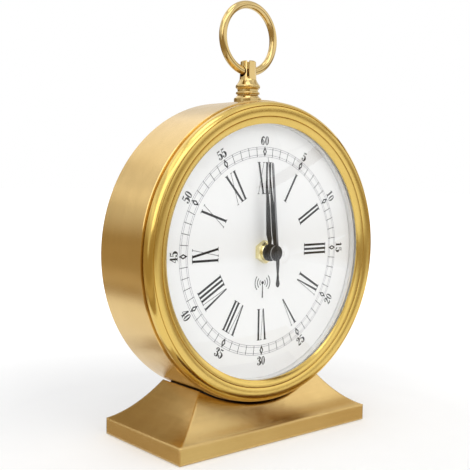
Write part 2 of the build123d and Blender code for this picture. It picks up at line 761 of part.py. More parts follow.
# Movement case
with BuildPart() as movement_front_case:
    block(facing(movement_split), movement_size, movement_size, movement_front - movement_split)
    edges_along = movement_front_case.edges().filter_by(Axis.Y)
    fillet(edges_along, movement_wall)
    block(facing(movement_split), 2 * inner_half, 2 * inner_half, movement_inner - movement_split,
          Mode.SUBTRACT)
    for x, z in pillar_places:
        between(centre_plate_front, movement_inner, plate_pillar_radius, x, z)
    for side in (-1, 1):
        block(facing(antenna_forward, side * (antenna_length - cradle_width) / 2, antenna_z), cradle_width,
              2 * antenna_radius, movement_inner - antenna_forward)
    with Locations(facing(antenna_forward, 0, antenna_z)):
        Cylinder(antenna_radius, movement_size, rotation=(0, 90, 0), mode=Mode.SUBTRACT)
    between(movement_inner, movement_front, bush_radius, mode=Mode.SUBTRACT)
    between(movement_inner, movement_inner + bush_flange_thickness, bush_flange_radius, mode=Mode.SUBTRACT)
    between(motion_layer - running_clearance, movement_inner, arbor_radius, *motion_place)
    between(movement_inner, movement_inner + pivot_depth + slip_clearance, arbor_radius + running_clearance,
            *third_place, mode=Mode.SUBTRACT)
finish(movement_front_case, "movement_front_case")

with BuildPart() as movement_rear_case:
    block(facing(movement_rear), movement_size, movement_size, movement_split - movement_rear)
    fillet(movement_rear_case.edges().filter_by(Axis.Y), movement_wall)
    block(facing(rear_inner), 2 * inner_half, 2 * inner_half, movement_split - rear_inner, Mode.SUBTRACT)
    bay_shoulder = bay_top + bay_wall + inner_half
    block(facing(rear_inner, 0, bay_shoulder / 2 - inner_half), 2 * inner_half, bay_shoulder,
          movement_split - rear_inner)
    block(facing(rear_inner, 0, bay_middle), bay_width + 2 * bay_wall, bay_height + 2 * bay_wall,
          bay_floor + bay_wall - rear_inner)
    block(facing(movement_rear, 0, bay_middle), bay_width, bay_height, bay_floor - movement_rear,
          Mode.SUBTRACT)
    for x, z in button_places:
        between(movement_rear, rear_inner, button_radius + slip_clearance / 2, x, z, Mode.SUBTRACT)
finish(movement_rear_case, "movement_rear_case")

with BuildPart() as threaded_bush:
    between(movement_inner, bush_front, bush_radius)
    chamfer(threaded_bush.faces().sort_by(Axis.Y)[0].edges(), groove_depth)
    between(movement_inner, movement_inner + bush_flange_thickness, bush_flange_radius)
    between(movement_inner, bush_front, bush_bore, mode=Mode.SUBTRACT)
finish(threaded_bush, "threaded_bush")

with BuildPart() as rubber_washer:
    between(movement_front, spigot_rear, rubber_washer_radius)
    between(movement_front, spigot_rear, bush_radius + slip_clearance, mode=Mode.SUBTRACT)
finish(rubber_washer, "rubber_washer")

with BuildPart() as dial_nut:
    with BuildSketch(facing(dial_front)):
        RegularPolygon(dial_nut_width / 2, 6, major_radius=False, rotation=30)
    extrude(amount=dial_nut_thickness)
    with BuildSketch(half_section):
        with BuildLine():
            corner_radius = dial_nut_width / 2 / cos(pi / 6)
            Polyline((dial_front - overrun, 0), (dial_front - overrun, corner_radius + overrun),
                     (dial_front + dial_nut_thickness - (corner_radius + overrun - dial_nut_boss_radius) / 2,
                      corner_radius + overrun),
                     (dial_front + dial_nut_thickness, dial_nut_boss_radius),
                     (dial_front + dial_nut_thickness, 0), close=True)
        make_face()
    revolve(axis=dial_axis, mode=Mode.INTERSECT)
    between(dial_front, dial_front + dial_nut_thickness, bush_radius, mode=Mode.SUBTRACT)
finish(dial_nut, "dial_nut")

# Plates, wheels and arbors
plate_top_z = upper_pillar_z + plate_pillar_radius
plate_middle = (plate_top_z + board_bottom) / 2
with BuildPart() as centre_plate:
    block(facing(centre_plate_rear, 0, plate_middle), 2 * (lower_pillar_x + plate_pillar_radius),
          plate_top_z - board_bottom, plate_thickness)
    between(centre_plate_rear, centre_plate_front, long_pipe_bore, mode=Mode.SUBTRACT)
    between(centre_plate_rear, centre_plate_front, tooth_size * minute_pinion_teeth, *third_place,
            mode=Mode.SUBTRACT)
    for place in (fourth_place, minute_rotor_place, seconds_rotor_place):
        between(centre_plate_rear, centre_plate_front, arbor_radius + running_clearance, *place,
                mode=Mode.SUBTRACT)
finish(centre_plate, "centre_plate")

with BuildPart() as rear_plate:
    block(facing(rear_plate_rear, 0, plate_middle), 2 * (lower_pillar_x + plate_pillar_radius),
          plate_top_z - board_bottom, plate_thickness)
    for x, z in pillar_places:
        between(rear_plate_front, centre_plate_rear, plate_pillar_radius, x, z)
    for x, side in ((minute_rotor_place[0], -1), (seconds_rotor_place[0], 1)):
        for level in (stator_low, stator_high):
            between(rear_plate_front, stator_rear, stator_foot_radius,
                    x + side * (stator_half - stator_bar / 2), level)
    between(rear_plate_rear, rear_plate_front, long_pipe_bore, mode=Mode.SUBTRACT)
    for place in (third_place, fourth_place, minute_rotor_place, seconds_rotor_place):
        between(rear_plate_rear, rear_plate_front, arbor_radius + running_clearance, *place,
                mode=Mode.SUBTRACT)
finish(rear_plate, "rear_plate")

short_hub_front = short_hub_rear + hub_thickness
long_hub_front = long_hub_rear + hub_thickness
sweep_shaft_front = sweep_hub_rear + sweep_hub_thickness / 2 + blade_set_back
sweep_blade_front = sweep_hub_rear + sweep_hub_thickness / 2 + blade_thickness / 2 + blade_set_back
with BuildPart() as hour_wheel:
    toothed_wheel(short_layer, hour_teeth, wheel_thickness, centre, motion_turn, hour_tooth_size)
    between(short_layer, short_hub_front, short_pipe_radius)
    between(short_layer, short_hub_front, short_pipe_bore, mode=Mode.SUBTRACT)
finish(hour_wheel, "hour_wheel")

with BuildPart() as motion_wheel:
    toothed_wheel(motion_layer, motion_teeth, wheel_thickness, motion_place,
                  motion_turn + half_turn + half_turn / motion_teeth)
    toothed_wheel(motion_layer + wheel_thickness, hour_pinion_teeth, short_layer - motion_layer,
                  motion_place, motion_turn + half_turn + half_turn / hour_pinion_teeth, hour_tooth_size)
    between(motion_layer, short_layer + wheel_thickness, arbor_radius + running_clearance, *motion_place,
            mode=Mode.SUBTRACT)
finish(motion_wheel, "motion_wheel")

with BuildPart() as minute_wheel:
    toothed_wheel(long_layer, minute_teeth, wheel_thickness, centre, third_turn)
    toothed_wheel(long_layer + wheel_thickness, cannon_teeth,
                  motion_layer - long_layer + pinion_overlap / 2, centre, motion_turn)
    between(long_layer, long_hub_front, long_pipe_radius)
    between(long_layer, long_hub_front, long_pipe_bore, mode=Mode.SUBTRACT)
finish(minute_wheel, "minute_wheel")

with BuildPart() as third_wheel:
    toothed_wheel(rotor_wheel_layer, third_teeth, wheel_thickness, third_place, minute_rotor_turn)
    toothed_wheel(rotor_wheel_layer + wheel_thickness, minute_pinion_teeth, long_layer - rotor_wheel_layer,
                  third_place, third_turn + half_turn + half_turn / minute_pinion_teeth)
    between(rear_plate_front - pivot_depth, movement_inner + pivot_depth, arbor_radius, *third_place)
finish(third_wheel, "third_wheel")

with BuildPart() as minute_rotor:
    toothed_wheel(rotor_front, rotor_teeth, rotor_wheel_layer + wheel_thickness - rotor_front,
                  minute_rotor_place, minute_rotor_turn + half_turn + half_turn / rotor_teeth)
    between(rotor_rear, rotor_front, rotor_radius, *minute_rotor_place)
    between(rear_plate_front - pivot_depth, centre_plate_rear + pivot_depth, arbor_radius,
            *minute_rotor_place)
finish(minute_rotor, "minute_rotor")

with BuildPart() as seconds_wheel:
    toothed_wheel(sweep_layer, seconds_teeth, wheel_thickness, centre, fourth_turn)
    between(rear_plate_front - pivot_depth, sweep_shaft_front, sweep_shaft_radius)
finish(seconds_wheel, "seconds_wheel")

with BuildPart() as fourth_wheel:
    toothed_wheel(rotor_wheel_layer, fourth_teeth, wheel_thickness, fourth_place, seconds_rotor_turn)
    toothed_wheel(sweep_layer - pinion_overlap / 3, seconds_pinion_teeth,
                  rotor_wheel_layer - sweep_layer + pinion_overlap / 3, fourth_place,
                  fourth_turn + half_turn + half_turn / seconds_pinion_teeth)
    between(rear_plate_front - pivot_depth, centre_plate_rear + pivot_depth, arbor_radius, *fourth_place)
finish(fourth_wheel, "fourth_wheel")

with BuildPart() as seconds_rotor:
    toothed_wheel(rotor_front, rotor_teeth, rotor_wheel_layer + wheel_thickness - rotor_front,
                  seconds_rotor_place, seconds_rotor_turn + half_turn + half_turn / rotor_teeth)
    between(rotor_rear, rotor_front, rotor_radius, *seconds_rotor_place)
    between(rear_plate_front - pivot_depth, centre_plate_rear + pivot_depth, arbor_radius,
            *seconds_rotor_place)
finish(seconds_rotor, "seconds_rotor")

# Motors: a stator and a coil for each rotor
coil_forward = stator_front - stator_thickness / 2
for name, place, side in (("minute", minute_rotor_place, -1), ("seconds", seconds_rotor_place, 1)):
    bar_x = place[0] + side * (stator_half - stator_bar / 2)
    arm_end = side * (coil_x + stator_bar / 2)
    with BuildPart() as stator:
        block(facing(stator_rear, *place), 2 * stator_half, 2 * stator_half, stator_thickness)
        for level in (stator_low, stator_high):
            inner_x = bar_x - side * stator_bar / 2
            block(facing(stator_rear, (inner_x + arm_end) / 2, level), abs(arm_end - inner_x), stator_bar,
                  stator_thickness)
            block(facing(stator_rear, bar_x, (place[1] + level) / 2), stator_bar,
                  abs(place[1] - level) + stator_bar, stator_thickness)
        block(facing(stator_rear, side * coil_x, (stator_low + stator_high) / 2), stator_bar,
              stator_high - stator_low, stator_thickness)
        between(stator_rear, stator_front, rotor_radius + rotor_air_gap, *place, mode=Mode.SUBTRACT)
        block(facing(stator_rear, *place), 2 * stator_half + overrun, stator_slit, stator_thickness,
              Mode.SUBTRACT)
    finish(stator, f"{name}_stator")
    with BuildPart() as coil:
        with Locations((side * coil_x, -coil_forward, dial_height + coil_low)):
            Cylinder(coil_radius, coil_high - coil_low, align=CENTRED)
            Box(stator_bar, stator_thickness, coil_high - coil_low, align=CENTRED, mode=Mode.SUBTRACT)
    finish(coil, f"{name}_coil")

# Electronics
board_top = inner_half - board_margin
with BuildPart() as circuit_board:
    block(facing(board_rear, 0, (board_top + board_bottom) / 2), 2 * (inner_half - board_margin),
          board_top - board_bottom, board_thickness)
finish(circuit_board, "circuit_board")

with BuildPart() as control_chip:
    block(facing(board_rear - chip_thickness, chip_x, chip_z), chip_size, chip_size, chip_thickness)
finish(control_chip, "control_chip")

with BuildPart() as quartz_crystal:
    with Locations((crystal_x, -board_rear + crystal_radius, dial_height + crystal_z)):
        Cylinder(crystal_radius, crystal_length, rotation=(0, 90, 0))
finish(quartz_crystal, "quartz_crystal")

with BuildPart() as ferrite_rod:
    with Locations((0, -antenna_forward, dial_height + antenna_z)):
        Cylinder(antenna_radius, antenna_length, rotation=(0, 90, 0))
finish(ferrite_rod, "ferrite_rod")

with BuildPart() as antenna_coil:
    with Locations((0, -antenna_forward, dial_height + antenna_z)):
        Cylinder(antenna_coil_radius, antenna_coil_length, rotation=(0, 90, 0))
        Cylinder(antenna_radius, antenna_coil_length, rotation=(0, 90, 0), mode=Mode.SUBTRACT)
finish(antenna_coil, "antenna_coil")

button_inner = rear_inner + button_flange_thickness
switch_rear = button_inner + button_travel + running_clearance
with BuildPart() as button_switches:
    for x, z in button_places:
        block(facing(switch_rear, x, z), switch_size, switch_size, board_rear - switch_rear)
finish(button_switches, "button_switches")

for name, (x, z) in zip(("set_button", "receive_button", "reset_button"), button_places):
    with BuildPart() as button:
        between(movement_rear - button_proud, button_inner, button_radius, x, z)
        fillet(button.faces().sort_by(Axis.Y)[-1].edges(), button_proud / 3)
        between(rear_inner, button_inner, button_flange_radius, x, z)
    finish(button, name)

# Battery and its contacts
battery_end = bay_half - contact_thickness - battery_nub_length
battery_start = battery_end - battery_length
with BuildPart() as battery:
    with Locations(Location((battery_start, -battery_forward, dial_height + bay_middle), (0, 90, 0))):
        Cylinder(battery_radius, battery_length, align=CENTRED)
        Cylinder(battery_nub_radius, battery_length + battery_nub_length, align=CENTRED)
finish(battery, "battery")

leaf_length = battery_start + bay_half - contact_thickness
for name, side, leaf in (("positive_contact", 1, 0), ("negative_contact", -1, leaf_length)):
    with BuildPart() as contact:
        with Locations((side * (bay_half - contact_thickness / 2), -battery_forward,
                        dial_height + bay_middle)):
            Box(contact_thickness, contact_width, contact_width)
        if leaf > 0:
            with Locations((side * (bay_half - contact_thickness - leaf / 2), -battery_forward,
                            dial_height + bay_middle)):
                Box(leaf, contact_leaf_width, contact_width)
    finish(contact, name)

# Hands
with BuildPart() as hour_hand:
    blade(short_hub_front, hour_hand_turn, short_hand_drop, short_hand_length, short_hand_half_width,
          hour_hand_shares)
    between(short_hub_rear, short_hub_front, short_hub_radius)
    between(short_hub_rear, short_hub_front, short_pipe_radius, mode=Mode.SUBTRACT)
finish(hour_hand, "hour_hand")

with BuildPart() as minute_hand:
    blade(long_hub_front, minute_hand_turn, long_hand_drop, long_hand_length, long_hand_half_width,
          minute_hand_shares)
    between(long_hub_rear, long_hub_front, long_hub_radius)
    between(long_hub_rear, long_hub_front, long_pipe_radius, mode=Mode.SUBTRACT)
finish(minute_hand, "minute_hand")

with BuildPart() as second_hand:
    blade(sweep_blade_front, second_hand_turn, sweep_hand_drop, sweep_hand_length, sweep_hand_half_width,
          second_hand_shares)
    blade(sweep_blade_front, second_hand_turn + half_turn, 0, sweep_tail_length, sweep_tail_half_width,
          second_tail_shares)
    between(sweep_hub_rear, sweep_hub_rear + sweep_hub_thickness, sweep_hub_radius)
    between(sweep_hub_rear, sweep_shaft_front, sweep_shaft_radius, mode=Mode.SUBTRACT)
finish(second_hand, "second_hand")
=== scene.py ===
import bpy
import json
from math import atan2, cos, hypot, pi, radians, sin, tau
from mathutils import Matrix, Vector


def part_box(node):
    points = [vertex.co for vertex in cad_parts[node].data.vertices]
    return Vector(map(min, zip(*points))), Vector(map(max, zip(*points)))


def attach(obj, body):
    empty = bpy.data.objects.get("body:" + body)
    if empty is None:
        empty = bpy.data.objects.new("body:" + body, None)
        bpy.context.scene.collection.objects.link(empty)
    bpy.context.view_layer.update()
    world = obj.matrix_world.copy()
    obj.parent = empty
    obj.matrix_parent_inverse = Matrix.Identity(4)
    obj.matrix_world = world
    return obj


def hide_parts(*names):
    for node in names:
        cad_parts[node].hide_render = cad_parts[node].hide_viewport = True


# A round table clock on a flared base: its materials, its dial's print, its bezel and its studio.
# Sizes of the clock are millimetres, and MM turns them into the scene's metres.
# The studio's sizes, and the places that come from the frame, are metres.

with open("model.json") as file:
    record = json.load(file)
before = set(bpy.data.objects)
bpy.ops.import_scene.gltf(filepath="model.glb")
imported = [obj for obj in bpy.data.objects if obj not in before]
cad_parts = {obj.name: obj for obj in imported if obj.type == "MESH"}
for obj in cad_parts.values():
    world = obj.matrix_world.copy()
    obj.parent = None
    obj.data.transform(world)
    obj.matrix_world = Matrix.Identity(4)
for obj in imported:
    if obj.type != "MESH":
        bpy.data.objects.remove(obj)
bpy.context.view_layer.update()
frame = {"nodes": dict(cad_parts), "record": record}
nodes = frame["nodes"]
MM = 0.001
CLOCK = "clock_body"

# Places that come from the frame
bezel_low, bezel_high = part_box("bezel")
drum_low, drum_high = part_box("drum_case")
base_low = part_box("base_casting")[0]
axis_height = (bezel_low.z + bezel_high.z) / 2
dial_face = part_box("dial")[0].y
gasket_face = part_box("glass_gasket")[0].y
minute_hand_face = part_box("minute_hand")[0].y
second_hand_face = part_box("second_hand")[0].y
battery_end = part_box("battery")[1].x


# Node trees

MATERIALS = {}


class Shader:
    """A material under construction, kept by its name, with short ways to add and join nodes."""

    def __init__(self, name):
        self.material = MATERIALS[name] = bpy.data.materials.new(name)
        self.material.use_nodes = True
        self.tree = self.material.node_tree
        self.tree.nodes.clear()
        self.output = self.tree.nodes.new("ShaderNodeOutputMaterial")
        self.surface = self.tree.nodes.new("ShaderNodeBsdfPrincipled")
        self.tree.links.new(self.surface.outputs["BSDF"], self.output.inputs["Surface"])
        self.position = self.add("ShaderNodeTexCoord").outputs["Object"]

    def add(self, kind, inputs=None, **settings):
        """A new node, with its settings made and its inputs set or linked."""
        node = self.tree.nodes.new(kind)
        for key, value in settings.items():
            setattr(node, key, value)
        for key, value in (inputs or {}).items():
            self.put(node.inputs[key], value)
        return node

    def put(self, socket, value):
        """An input takes a link where the value is another node's output, or else the value."""
        if isinstance(value, bpy.types.NodeSocket):
            self.tree.links.new(value, socket)
        else:
            socket.default_value = value

    def set(self, **inputs):
        """Inputs of the surface, with the spaces in their names written as underscores."""
        for key, value in inputs.items():
            self.put(self.surface.inputs[key.replace("_", " ")], value)

    def maths(self, operation, *values):
        node = self.add("ShaderNodeMath", operation=operation)
        for socket, value in zip(node.inputs, values):
            self.put(socket, value)
        return node.outputs[0]

    def parts(self, vector):
        """The three numbers of a vector."""
        return self.add("ShaderNodeSeparateXYZ", {0: vector}).outputs

    def geometry(self, output):
        return self.add("ShaderNodeNewGeometry").outputs[output]

    def stretched(self, scale):
        return self.add("ShaderNodeMapping", {"Vector": self.position, "Scale": scale}).outputs[0]

    def noise(self, vector, scale=1.0, detail=3.0, roughness=0.5):
        return self.add("ShaderNodeTexNoise", {"Vector": vector, "Scale": scale, "Detail": detail,
                                               "Roughness": roughness}).outputs["Fac"]

    def between(self, factor, low, high, from_low=0.3, from_high=0.7):
        """A value that goes from low to high as the factor goes from from_low to from_high,
        or through the usual range of a noise."""
        return self.add("ShaderNodeMapRange", {"Value": factor, "From Min": from_low, "From Max": from_high,
                                               "To Min": low, "To Max": high}).outputs[0]

    def blend(self, factor, first, second):
        """A Mix node's result. Its colours are its inputs 6 and 7 and its output 2."""
        return self.add("ShaderNodeMix", {0: factor, 6: first, 7: second}, data_type="RGBA").outputs[2]

    def bump(self, height, distance, strength=1.0, before=None):
        """A normal that follows a height, on top of the normal before it."""
        node = self.add("ShaderNodeBump", {"Height": height, "Distance": distance, "Strength": strength})
        if before is not None:
            self.put(node.inputs["Normal"], before)
        return node.outputs[0]

    def turned(self, fine, slow):
        """Coordinates that change fast from groove to groove and slowly round the dial's axis."""
        centred = self.add("ShaderNodeVectorMath", {0: self.position, 1: (0, 0, -axis_height)}).outputs[0]
        across, depth, up = self.parts(centred)
        reach = self.maths("SQRT", self.maths("ADD", self.maths("MULTIPLY", across, across),
                                              self.maths("MULTIPLY", up, up)))
        safe_reach = self.maths("MAXIMUM", reach, MM)
        slow_across = self.maths("MULTIPLY", self.maths("DIVIDE", across, safe_reach), slow)
        slow_up = self.maths("MULTIPLY", self.maths("DIVIDE", up, safe_reach), slow)
        groove = self.maths("MULTIPLY", self.maths("ADD", reach, depth), fine)
        return self.add("ShaderNodeCombineXYZ", {0: slow_across, 1: groove, 2: slow_up}).outputs[0]


# Materials

def colour(red, green, blue):
    return (red, green, blue, 1.0)


def scaled(tint, factor):
    return colour(*(min(1.0, part * factor) for part in tint[:3]))


# How fast each grain changes, first in its broad streaks and then in its fine lines
TURNED_GRAIN = ((1100.0, 2.5), (5200.0, 5.0))
LEVEL_GRAIN = ((11, 11, 900), (22, 22, 3800))
EVEN_GRAIN = ((300, 300, 300), (900, 900, 900))


def grain_vectors(s, grain):
    """Coordinates for a metal's streaks and for its lines: turned round the dial's axis, level or even."""
    if grain == "turned":
        return [s.turned(fine, slow) for fine, slow in TURNED_GRAIN]
    return [s.stretched(scale) for scale in (LEVEL_GRAIN if grain == "level" else EVEN_GRAIN)]


def metal(name, tint, shade, roughness, grain="even", grain_depth=0.0, wear=0.06, anisotropy=0.0, edge=0.0):
    """A bare metal: two tints in soft clouds, a grain of pale fine lines and dark broad streaks, and
    patches rubbed smoother. Wear is how far the grain and the patches change tone and gloss, and edge
    is the radius to which sharp edges look worn."""
    s = Shader(name)
    streak_vector, line_vector = grain_vectors(s, grain)
    streaks = s.noise(streak_vector, detail=3.0, roughness=0.65)
    lines = s.noise(line_vector, detail=2.0, roughness=0.7)
    clouds = s.noise(s.position, scale=28.0, detail=4.0, roughness=0.6)
    smears = s.noise(s.stretched((1, 1, 0.35)), scale=140.0, detail=4.0, roughness=0.6)
    tone = s.blend(s.between(clouds, 0.0, 1.0), tint, shade)
    tone = s.blend(s.between(lines, 0.0, wear, 0.25, 0.75), tone, scaled(tint, 1.5))
    tone = s.blend(s.between(streaks, 0.0, 2 * wear), tone, scaled(tint, 0.6))
    rough = s.maths("ADD", s.between(smears, roughness - wear / 2, roughness + wear / 2),
                    s.between(lines, -wear / 3, wear / 3, 0.25, 0.75))
    worn = s.add("ShaderNodeBevel", {"Radius": edge * MM}, samples=8).outputs[0] if edge else None
    smeared = s.bump(smears, grain_depth * MM / 6, strength=0.5, before=worn)
    s.set(Base_Color=tone, Metallic=1.0, Roughness=rough,
          Normal=s.bump(lines, grain_depth * MM, before=smeared))
    if anisotropy and grain == "turned":
        round_axis = s.add("ShaderNodeTangent", direction_type="RADIAL", axis="Y").outputs[0]
        s.set(Anisotropic=anisotropy, Anisotropic_Rotation=0.25, Tangent=round_axis)
    elif anisotropy:
        level = s.add("ShaderNodeVectorMath", {0: s.geometry("Normal"), 1: (0, 0, 1)},
                      operation="CROSS_PRODUCT").outputs[0]
        s.set(Anisotropic=anisotropy, Anisotropic_Rotation=0.25, Tangent=level)


def solid(name, tint, shade, roughness, cell=600.0, depth=0.01, specular=0.5, sheen=0.0, metallic=0.0,
          translucence=0.0):
    """Paint, plastic, rubber or felt: two tints, a fine moulded or woven grain, and rubbed patches.
    Translucence is how far light spreads inside."""
    s = Shader(name)
    clouds = s.noise(s.position, scale=45.0, detail=4.0, roughness=0.6)
    fine = s.noise(s.position, scale=cell, detail=3.0, roughness=0.65)
    rubbed = s.noise(s.position, scale=160.0, detail=4.0, roughness=0.6)
    s.set(Base_Color=s.blend(s.between(clouds, 0.0, 1.0), tint, shade), Metallic=metallic,
          Roughness=s.maths("ADD", s.between(rubbed, roughness - 0.05, roughness + 0.05),
                            s.between(fine, -0.03, 0.03)),
          Specular_IOR_Level=specular, Sheen_Weight=sheen, Normal=s.bump(fine, depth * MM, strength=0.6))
    if translucence:
        s.set(Subsurface_Weight=1.0, Subsurface_Radius=(1.0, 1.0, 1.0), Subsurface_Scale=translucence * MM)


BLACK = colour(0.012, 0.012, 0.013)

# A hand's painted sheen sets in between two heights above the dial's axis, and its hub's side, with a painted
# highlight at the face, turns black between two depths behind the hub's face
painted_sheen_start, painted_sheen_end = 4.0, 8.0
hub_glint_start, hub_glint_end = 0.2, 0.4


def hand_lacquer(name, sheen_tone, edge, front):
    """Black lacquer on a stamped hand, with a painted sheen in the sheen tone above the hub and a painted
    highlight in the edge tone along the cut edges. Front is the depth of the hub's face, behind which the
    hub's side stays black."""
    s = Shader(name)
    clouds = s.noise(s.position, scale=60.0, detail=4.0, roughness=0.6)
    fine = s.noise(s.position, scale=1200.0)
    depth, height = s.parts(s.position)[1:]
    facing = s.parts(s.geometry("Normal"))[1]
    face = s.blend(s.between(clouds, 0.0, 1.0), BLACK, colour(0.018, 0.018, 0.020))
    above = s.between(height, 0.0, 1.0, axis_height + painted_sheen_start * MM, axis_height + painted_sheen_end * MM)
    face = s.blend(above, face, sheen_tone)
    hub_glint = s.between(depth, 1.0, 0.0, front + hub_glint_start * MM, front + hub_glint_end * MM)
    sideways = s.between(s.maths("ABSOLUTE", facing), 1.0, 0.0, 0.15, 0.4)
    # Painted highlight: the sideways faces above the hub and near the hub's face take the edge tone
    edge_glint = s.maths("MULTIPLY", s.maths("MAXIMUM", above, hub_glint), sideways)
    s.set(Base_Color=s.blend(edge_glint, face, edge), Roughness=s.between(fine, 0.3, 0.4), Specular_IOR_Level=0.25,
          Normal=s.bump(fine, 0.004 * MM, strength=0.6))


def clear_glass(name):
    """Clear glass that reflects as its angle asks, with the faintest film of dust."""
    s = Shader(name)
    outside = s.maths("SUBTRACT", 1.0, s.geometry("Backfacing"))
    mirrored = s.maths("MULTIPLY", s.add("ShaderNodeFresnel", {"IOR": 1.5}).outputs[0], outside)
    film = s.noise(s.position, scale=60.0, detail=5.0, roughness=0.7)
    s.set(Base_Color=s.blend(s.between(film, 0.0, 1.0), colour(0.97, 0.985, 0.98), colour(1, 1, 1)),
          Metallic=1.0, Roughness=s.between(film, 0.01, 0.035),
          Alpha=s.maths("ADD", mirrored, s.between(film, 0.0, 0.012)))


def white_print(name):
    """White lacquer, as on the dial's face."""
    s = Shader(name)
    clouds = s.noise(s.position, scale=18.0, detail=3.0, roughness=0.5)
    fine = s.noise(s.position, scale=900.0, detail=3.0, roughness=0.6)
    tone = s.blend(s.between(clouds, 0.0, 1.0), colour(0.94, 0.945, 0.94), colour(0.91, 0.915, 0.91))
    s.set(Base_Color=tone, Roughness=s.between(fine, 0.42, 0.52),
          Normal=s.bump(fine, 0.004 * MM, strength=0.5))


def wound_wire(name, axis):
    """Enamelled copper wire in close turns about an axis."""
    s = Shader(name)
    turns = s.add("ShaderNodeTexWave", {"Vector": s.position, "Scale": 950.0, "Distortion": 0.3},
                  bands_direction=axis).outputs["Fac"]
    s.set(Base_Color=s.blend(turns, colour(0.25, 0.08, 0.03), colour(0.62, 0.26, 0.10)), Metallic=0.85,
          Roughness=s.between(turns, 0.45, 0.28, 0, 1), Normal=s.bump(turns, 0.08 * MM))


def circuit_laminate(name):
    """Green laminate with paler tracks."""
    s = Shader(name)
    tracks = s.add("ShaderNodeTexBrick", {"Vector": s.stretched((260, 260, 260)), "Scale": 1.0,
                                          "Mortar Size": 0.04, "Color1": colour(0.02, 0.14, 0.06),
                                          "Color2": colour(0.02, 0.12, 0.05),
                                          "Mortar": colour(0.10, 0.30, 0.14)}).outputs["Color"]
    fine = s.noise(s.position, scale=900.0)
    s.set(Base_Color=tracks, Roughness=s.between(fine, 0.3, 0.45), Normal=s.bump(fine, 0.01 * MM))


# How far the copper-coloured band and the steel cap reach from the battery's raised end
battery_band_length = 14.0
battery_cap_length = 2.2


def battery_sleeve(name):
    """A cell's printed sleeve: dark, with a copper-coloured band and a steel cap at the raised end."""
    s = Shader(name)
    along = s.parts(s.position)[0]
    band = s.maths("GREATER_THAN", along, battery_end - battery_band_length * MM)
    cap = s.maths("GREATER_THAN", along, battery_end - battery_cap_length * MM)
    fine = s.noise(s.position, scale=700.0)
    tone = s.blend(band, colour(0.02, 0.02, 0.022), colour(0.55, 0.26, 0.10))
    s.set(Base_Color=s.blend(cap, tone, colour(0.6, 0.6, 0.6)),
          Metallic=s.maths("MAXIMUM", s.maths("MULTIPLY", band, 0.6), cap),
          Roughness=s.between(fine, 0.25, 0.38), Normal=s.bump(fine, 0.005 * MM))


GOLD = colour(0.67, 0.475, 0.20)
GOLD_SHADE = colour(0.62, 0.43, 0.17)
RICH_GOLD = colour(0.68, 0.485, 0.145)
RICH_SHADE = colour(0.63, 0.44, 0.12)
DEEP_GOLD = colour(0.60, 0.445, 0.20)
DEEP_SHADE = colour(0.50, 0.36, 0.14)
PALE_GOLD = colour(0.86, 0.78, 0.45)
PALE_SHADE = colour(0.80, 0.70, 0.37)
STEEL = colour(0.55, 0.55, 0.56)
STEEL_SHADE = colour(0.46, 0.46, 0.48)
SPRING = colour(0.66, 0.66, 0.67)
BOARD = colour(0.7, 0.7, 0.71)

# Name, tint, shade and roughness, then grain and its depth, wear, anisotropy and worn edge
BARE_METALS = (
    ("satin_brass", GOLD, GOLD_SHADE, 0.2, "turned", 0.006, 0.04, 0.92),
    ("polished_brass", RICH_GOLD, RICH_SHADE, 0.19, "turned", 0.002, 0.04, 0.6),
    ("base_brass", GOLD, GOLD_SHADE, 0.21, "level", 0.010, 0.06, 0.6, 2.0),
    ("finial_brass", DEEP_GOLD, DEEP_SHADE, 0.13, "even", 0.002, 0.04),
    ("turned_brass", PALE_GOLD, PALE_SHADE, 0.28, "even", 0.004),
    ("steel", STEEL, STEEL_SHADE, 0.34, "even", 0.006),
    ("spring_steel", SPRING, STEEL, 0.22, "even", 0.004),
    ("dial_board", BOARD, STEEL, 0.4, "level", 0.006))


def make_metals():
    for settings in BARE_METALS:
        metal(*settings)
    wound_wire("copper_wire", "Z")
    wound_wire("aerial_wire", "X")


def make_plastics():
    solid("grey_plastic", colour(0.12, 0.12, 0.125), colour(0.10, 0.10, 0.105), 0.5)
    solid("white_plastic", colour(0.82, 0.82, 0.81), colour(0.76, 0.76, 0.75), 0.45)
    solid("black_plastic", colour(0.022, 0.022, 0.023), BLACK, 0.5, cell=1100.0, depth=0.025)
    solid("gear_plastic", colour(0.72, 0.68, 0.56), colour(0.66, 0.62, 0.5), 0.42)
    solid("spacer_plastic", colour(0.84, 0.84, 0.83), colour(0.80, 0.80, 0.79), 0.5, specular=0.3,
          translucence=3.0)
    solid("pale_silicone", colour(0.80, 0.80, 0.79), colour(0.76, 0.76, 0.75), 0.6, cell=1500.0,
          specular=0.4, translucence=3.0)
    solid("black_rubber", BLACK, colour(0.02, 0.02, 0.02), 0.75, cell=1500.0, depth=0.02)
    clear_glass("clear_glass")


def make_coatings():
    solid("back_paint", colour(0.02, 0.02, 0.021), BLACK, 0.5, cell=900.0, depth=0.03)
    solid("hand_black", colour(0.018, 0.018, 0.02), BLACK, 0.35, cell=1200.0, depth=0.004, specular=0.25)
    # The minute hand's pale edges are a painted highlight, and the second hand's grey above its hub is a
    # painted sheen
    hand_lacquer("minute_lacquer_painted_glint", BLACK, colour(0.60, 0.60, 0.60), minute_hand_face)
    hand_lacquer("second_lacquer_painted_sheen", colour(0.20, 0.20, 0.21), BLACK, second_hand_face)
    white_print("dial_white")
    white_print("dial_mark_white")
    solid("dial_ink", colour(0.010, 0.011, 0.016), BLACK, 0.6, cell=1500.0, depth=0.002, specular=0.15)
    solid("dial_grey_ink", colour(0.30, 0.29, 0.33), colour(0.26, 0.25, 0.29), 0.6, cell=1500.0, depth=0.002,
          specular=0.15)


def make_other_materials():
    solid("black_felt", colour(0.02, 0.02, 0.02), colour(0.03, 0.03, 0.03), 0.95, cell=2200.0, depth=0.25,
          specular=0.2, sheen=0.6)
    solid("ferrite", colour(0.05, 0.05, 0.052), colour(0.035, 0.035, 0.036), 0.6, cell=1500.0, depth=0.02,
          metallic=0.4)
    circuit_laminate("board_green")
    battery_sleeve("battery_skin")


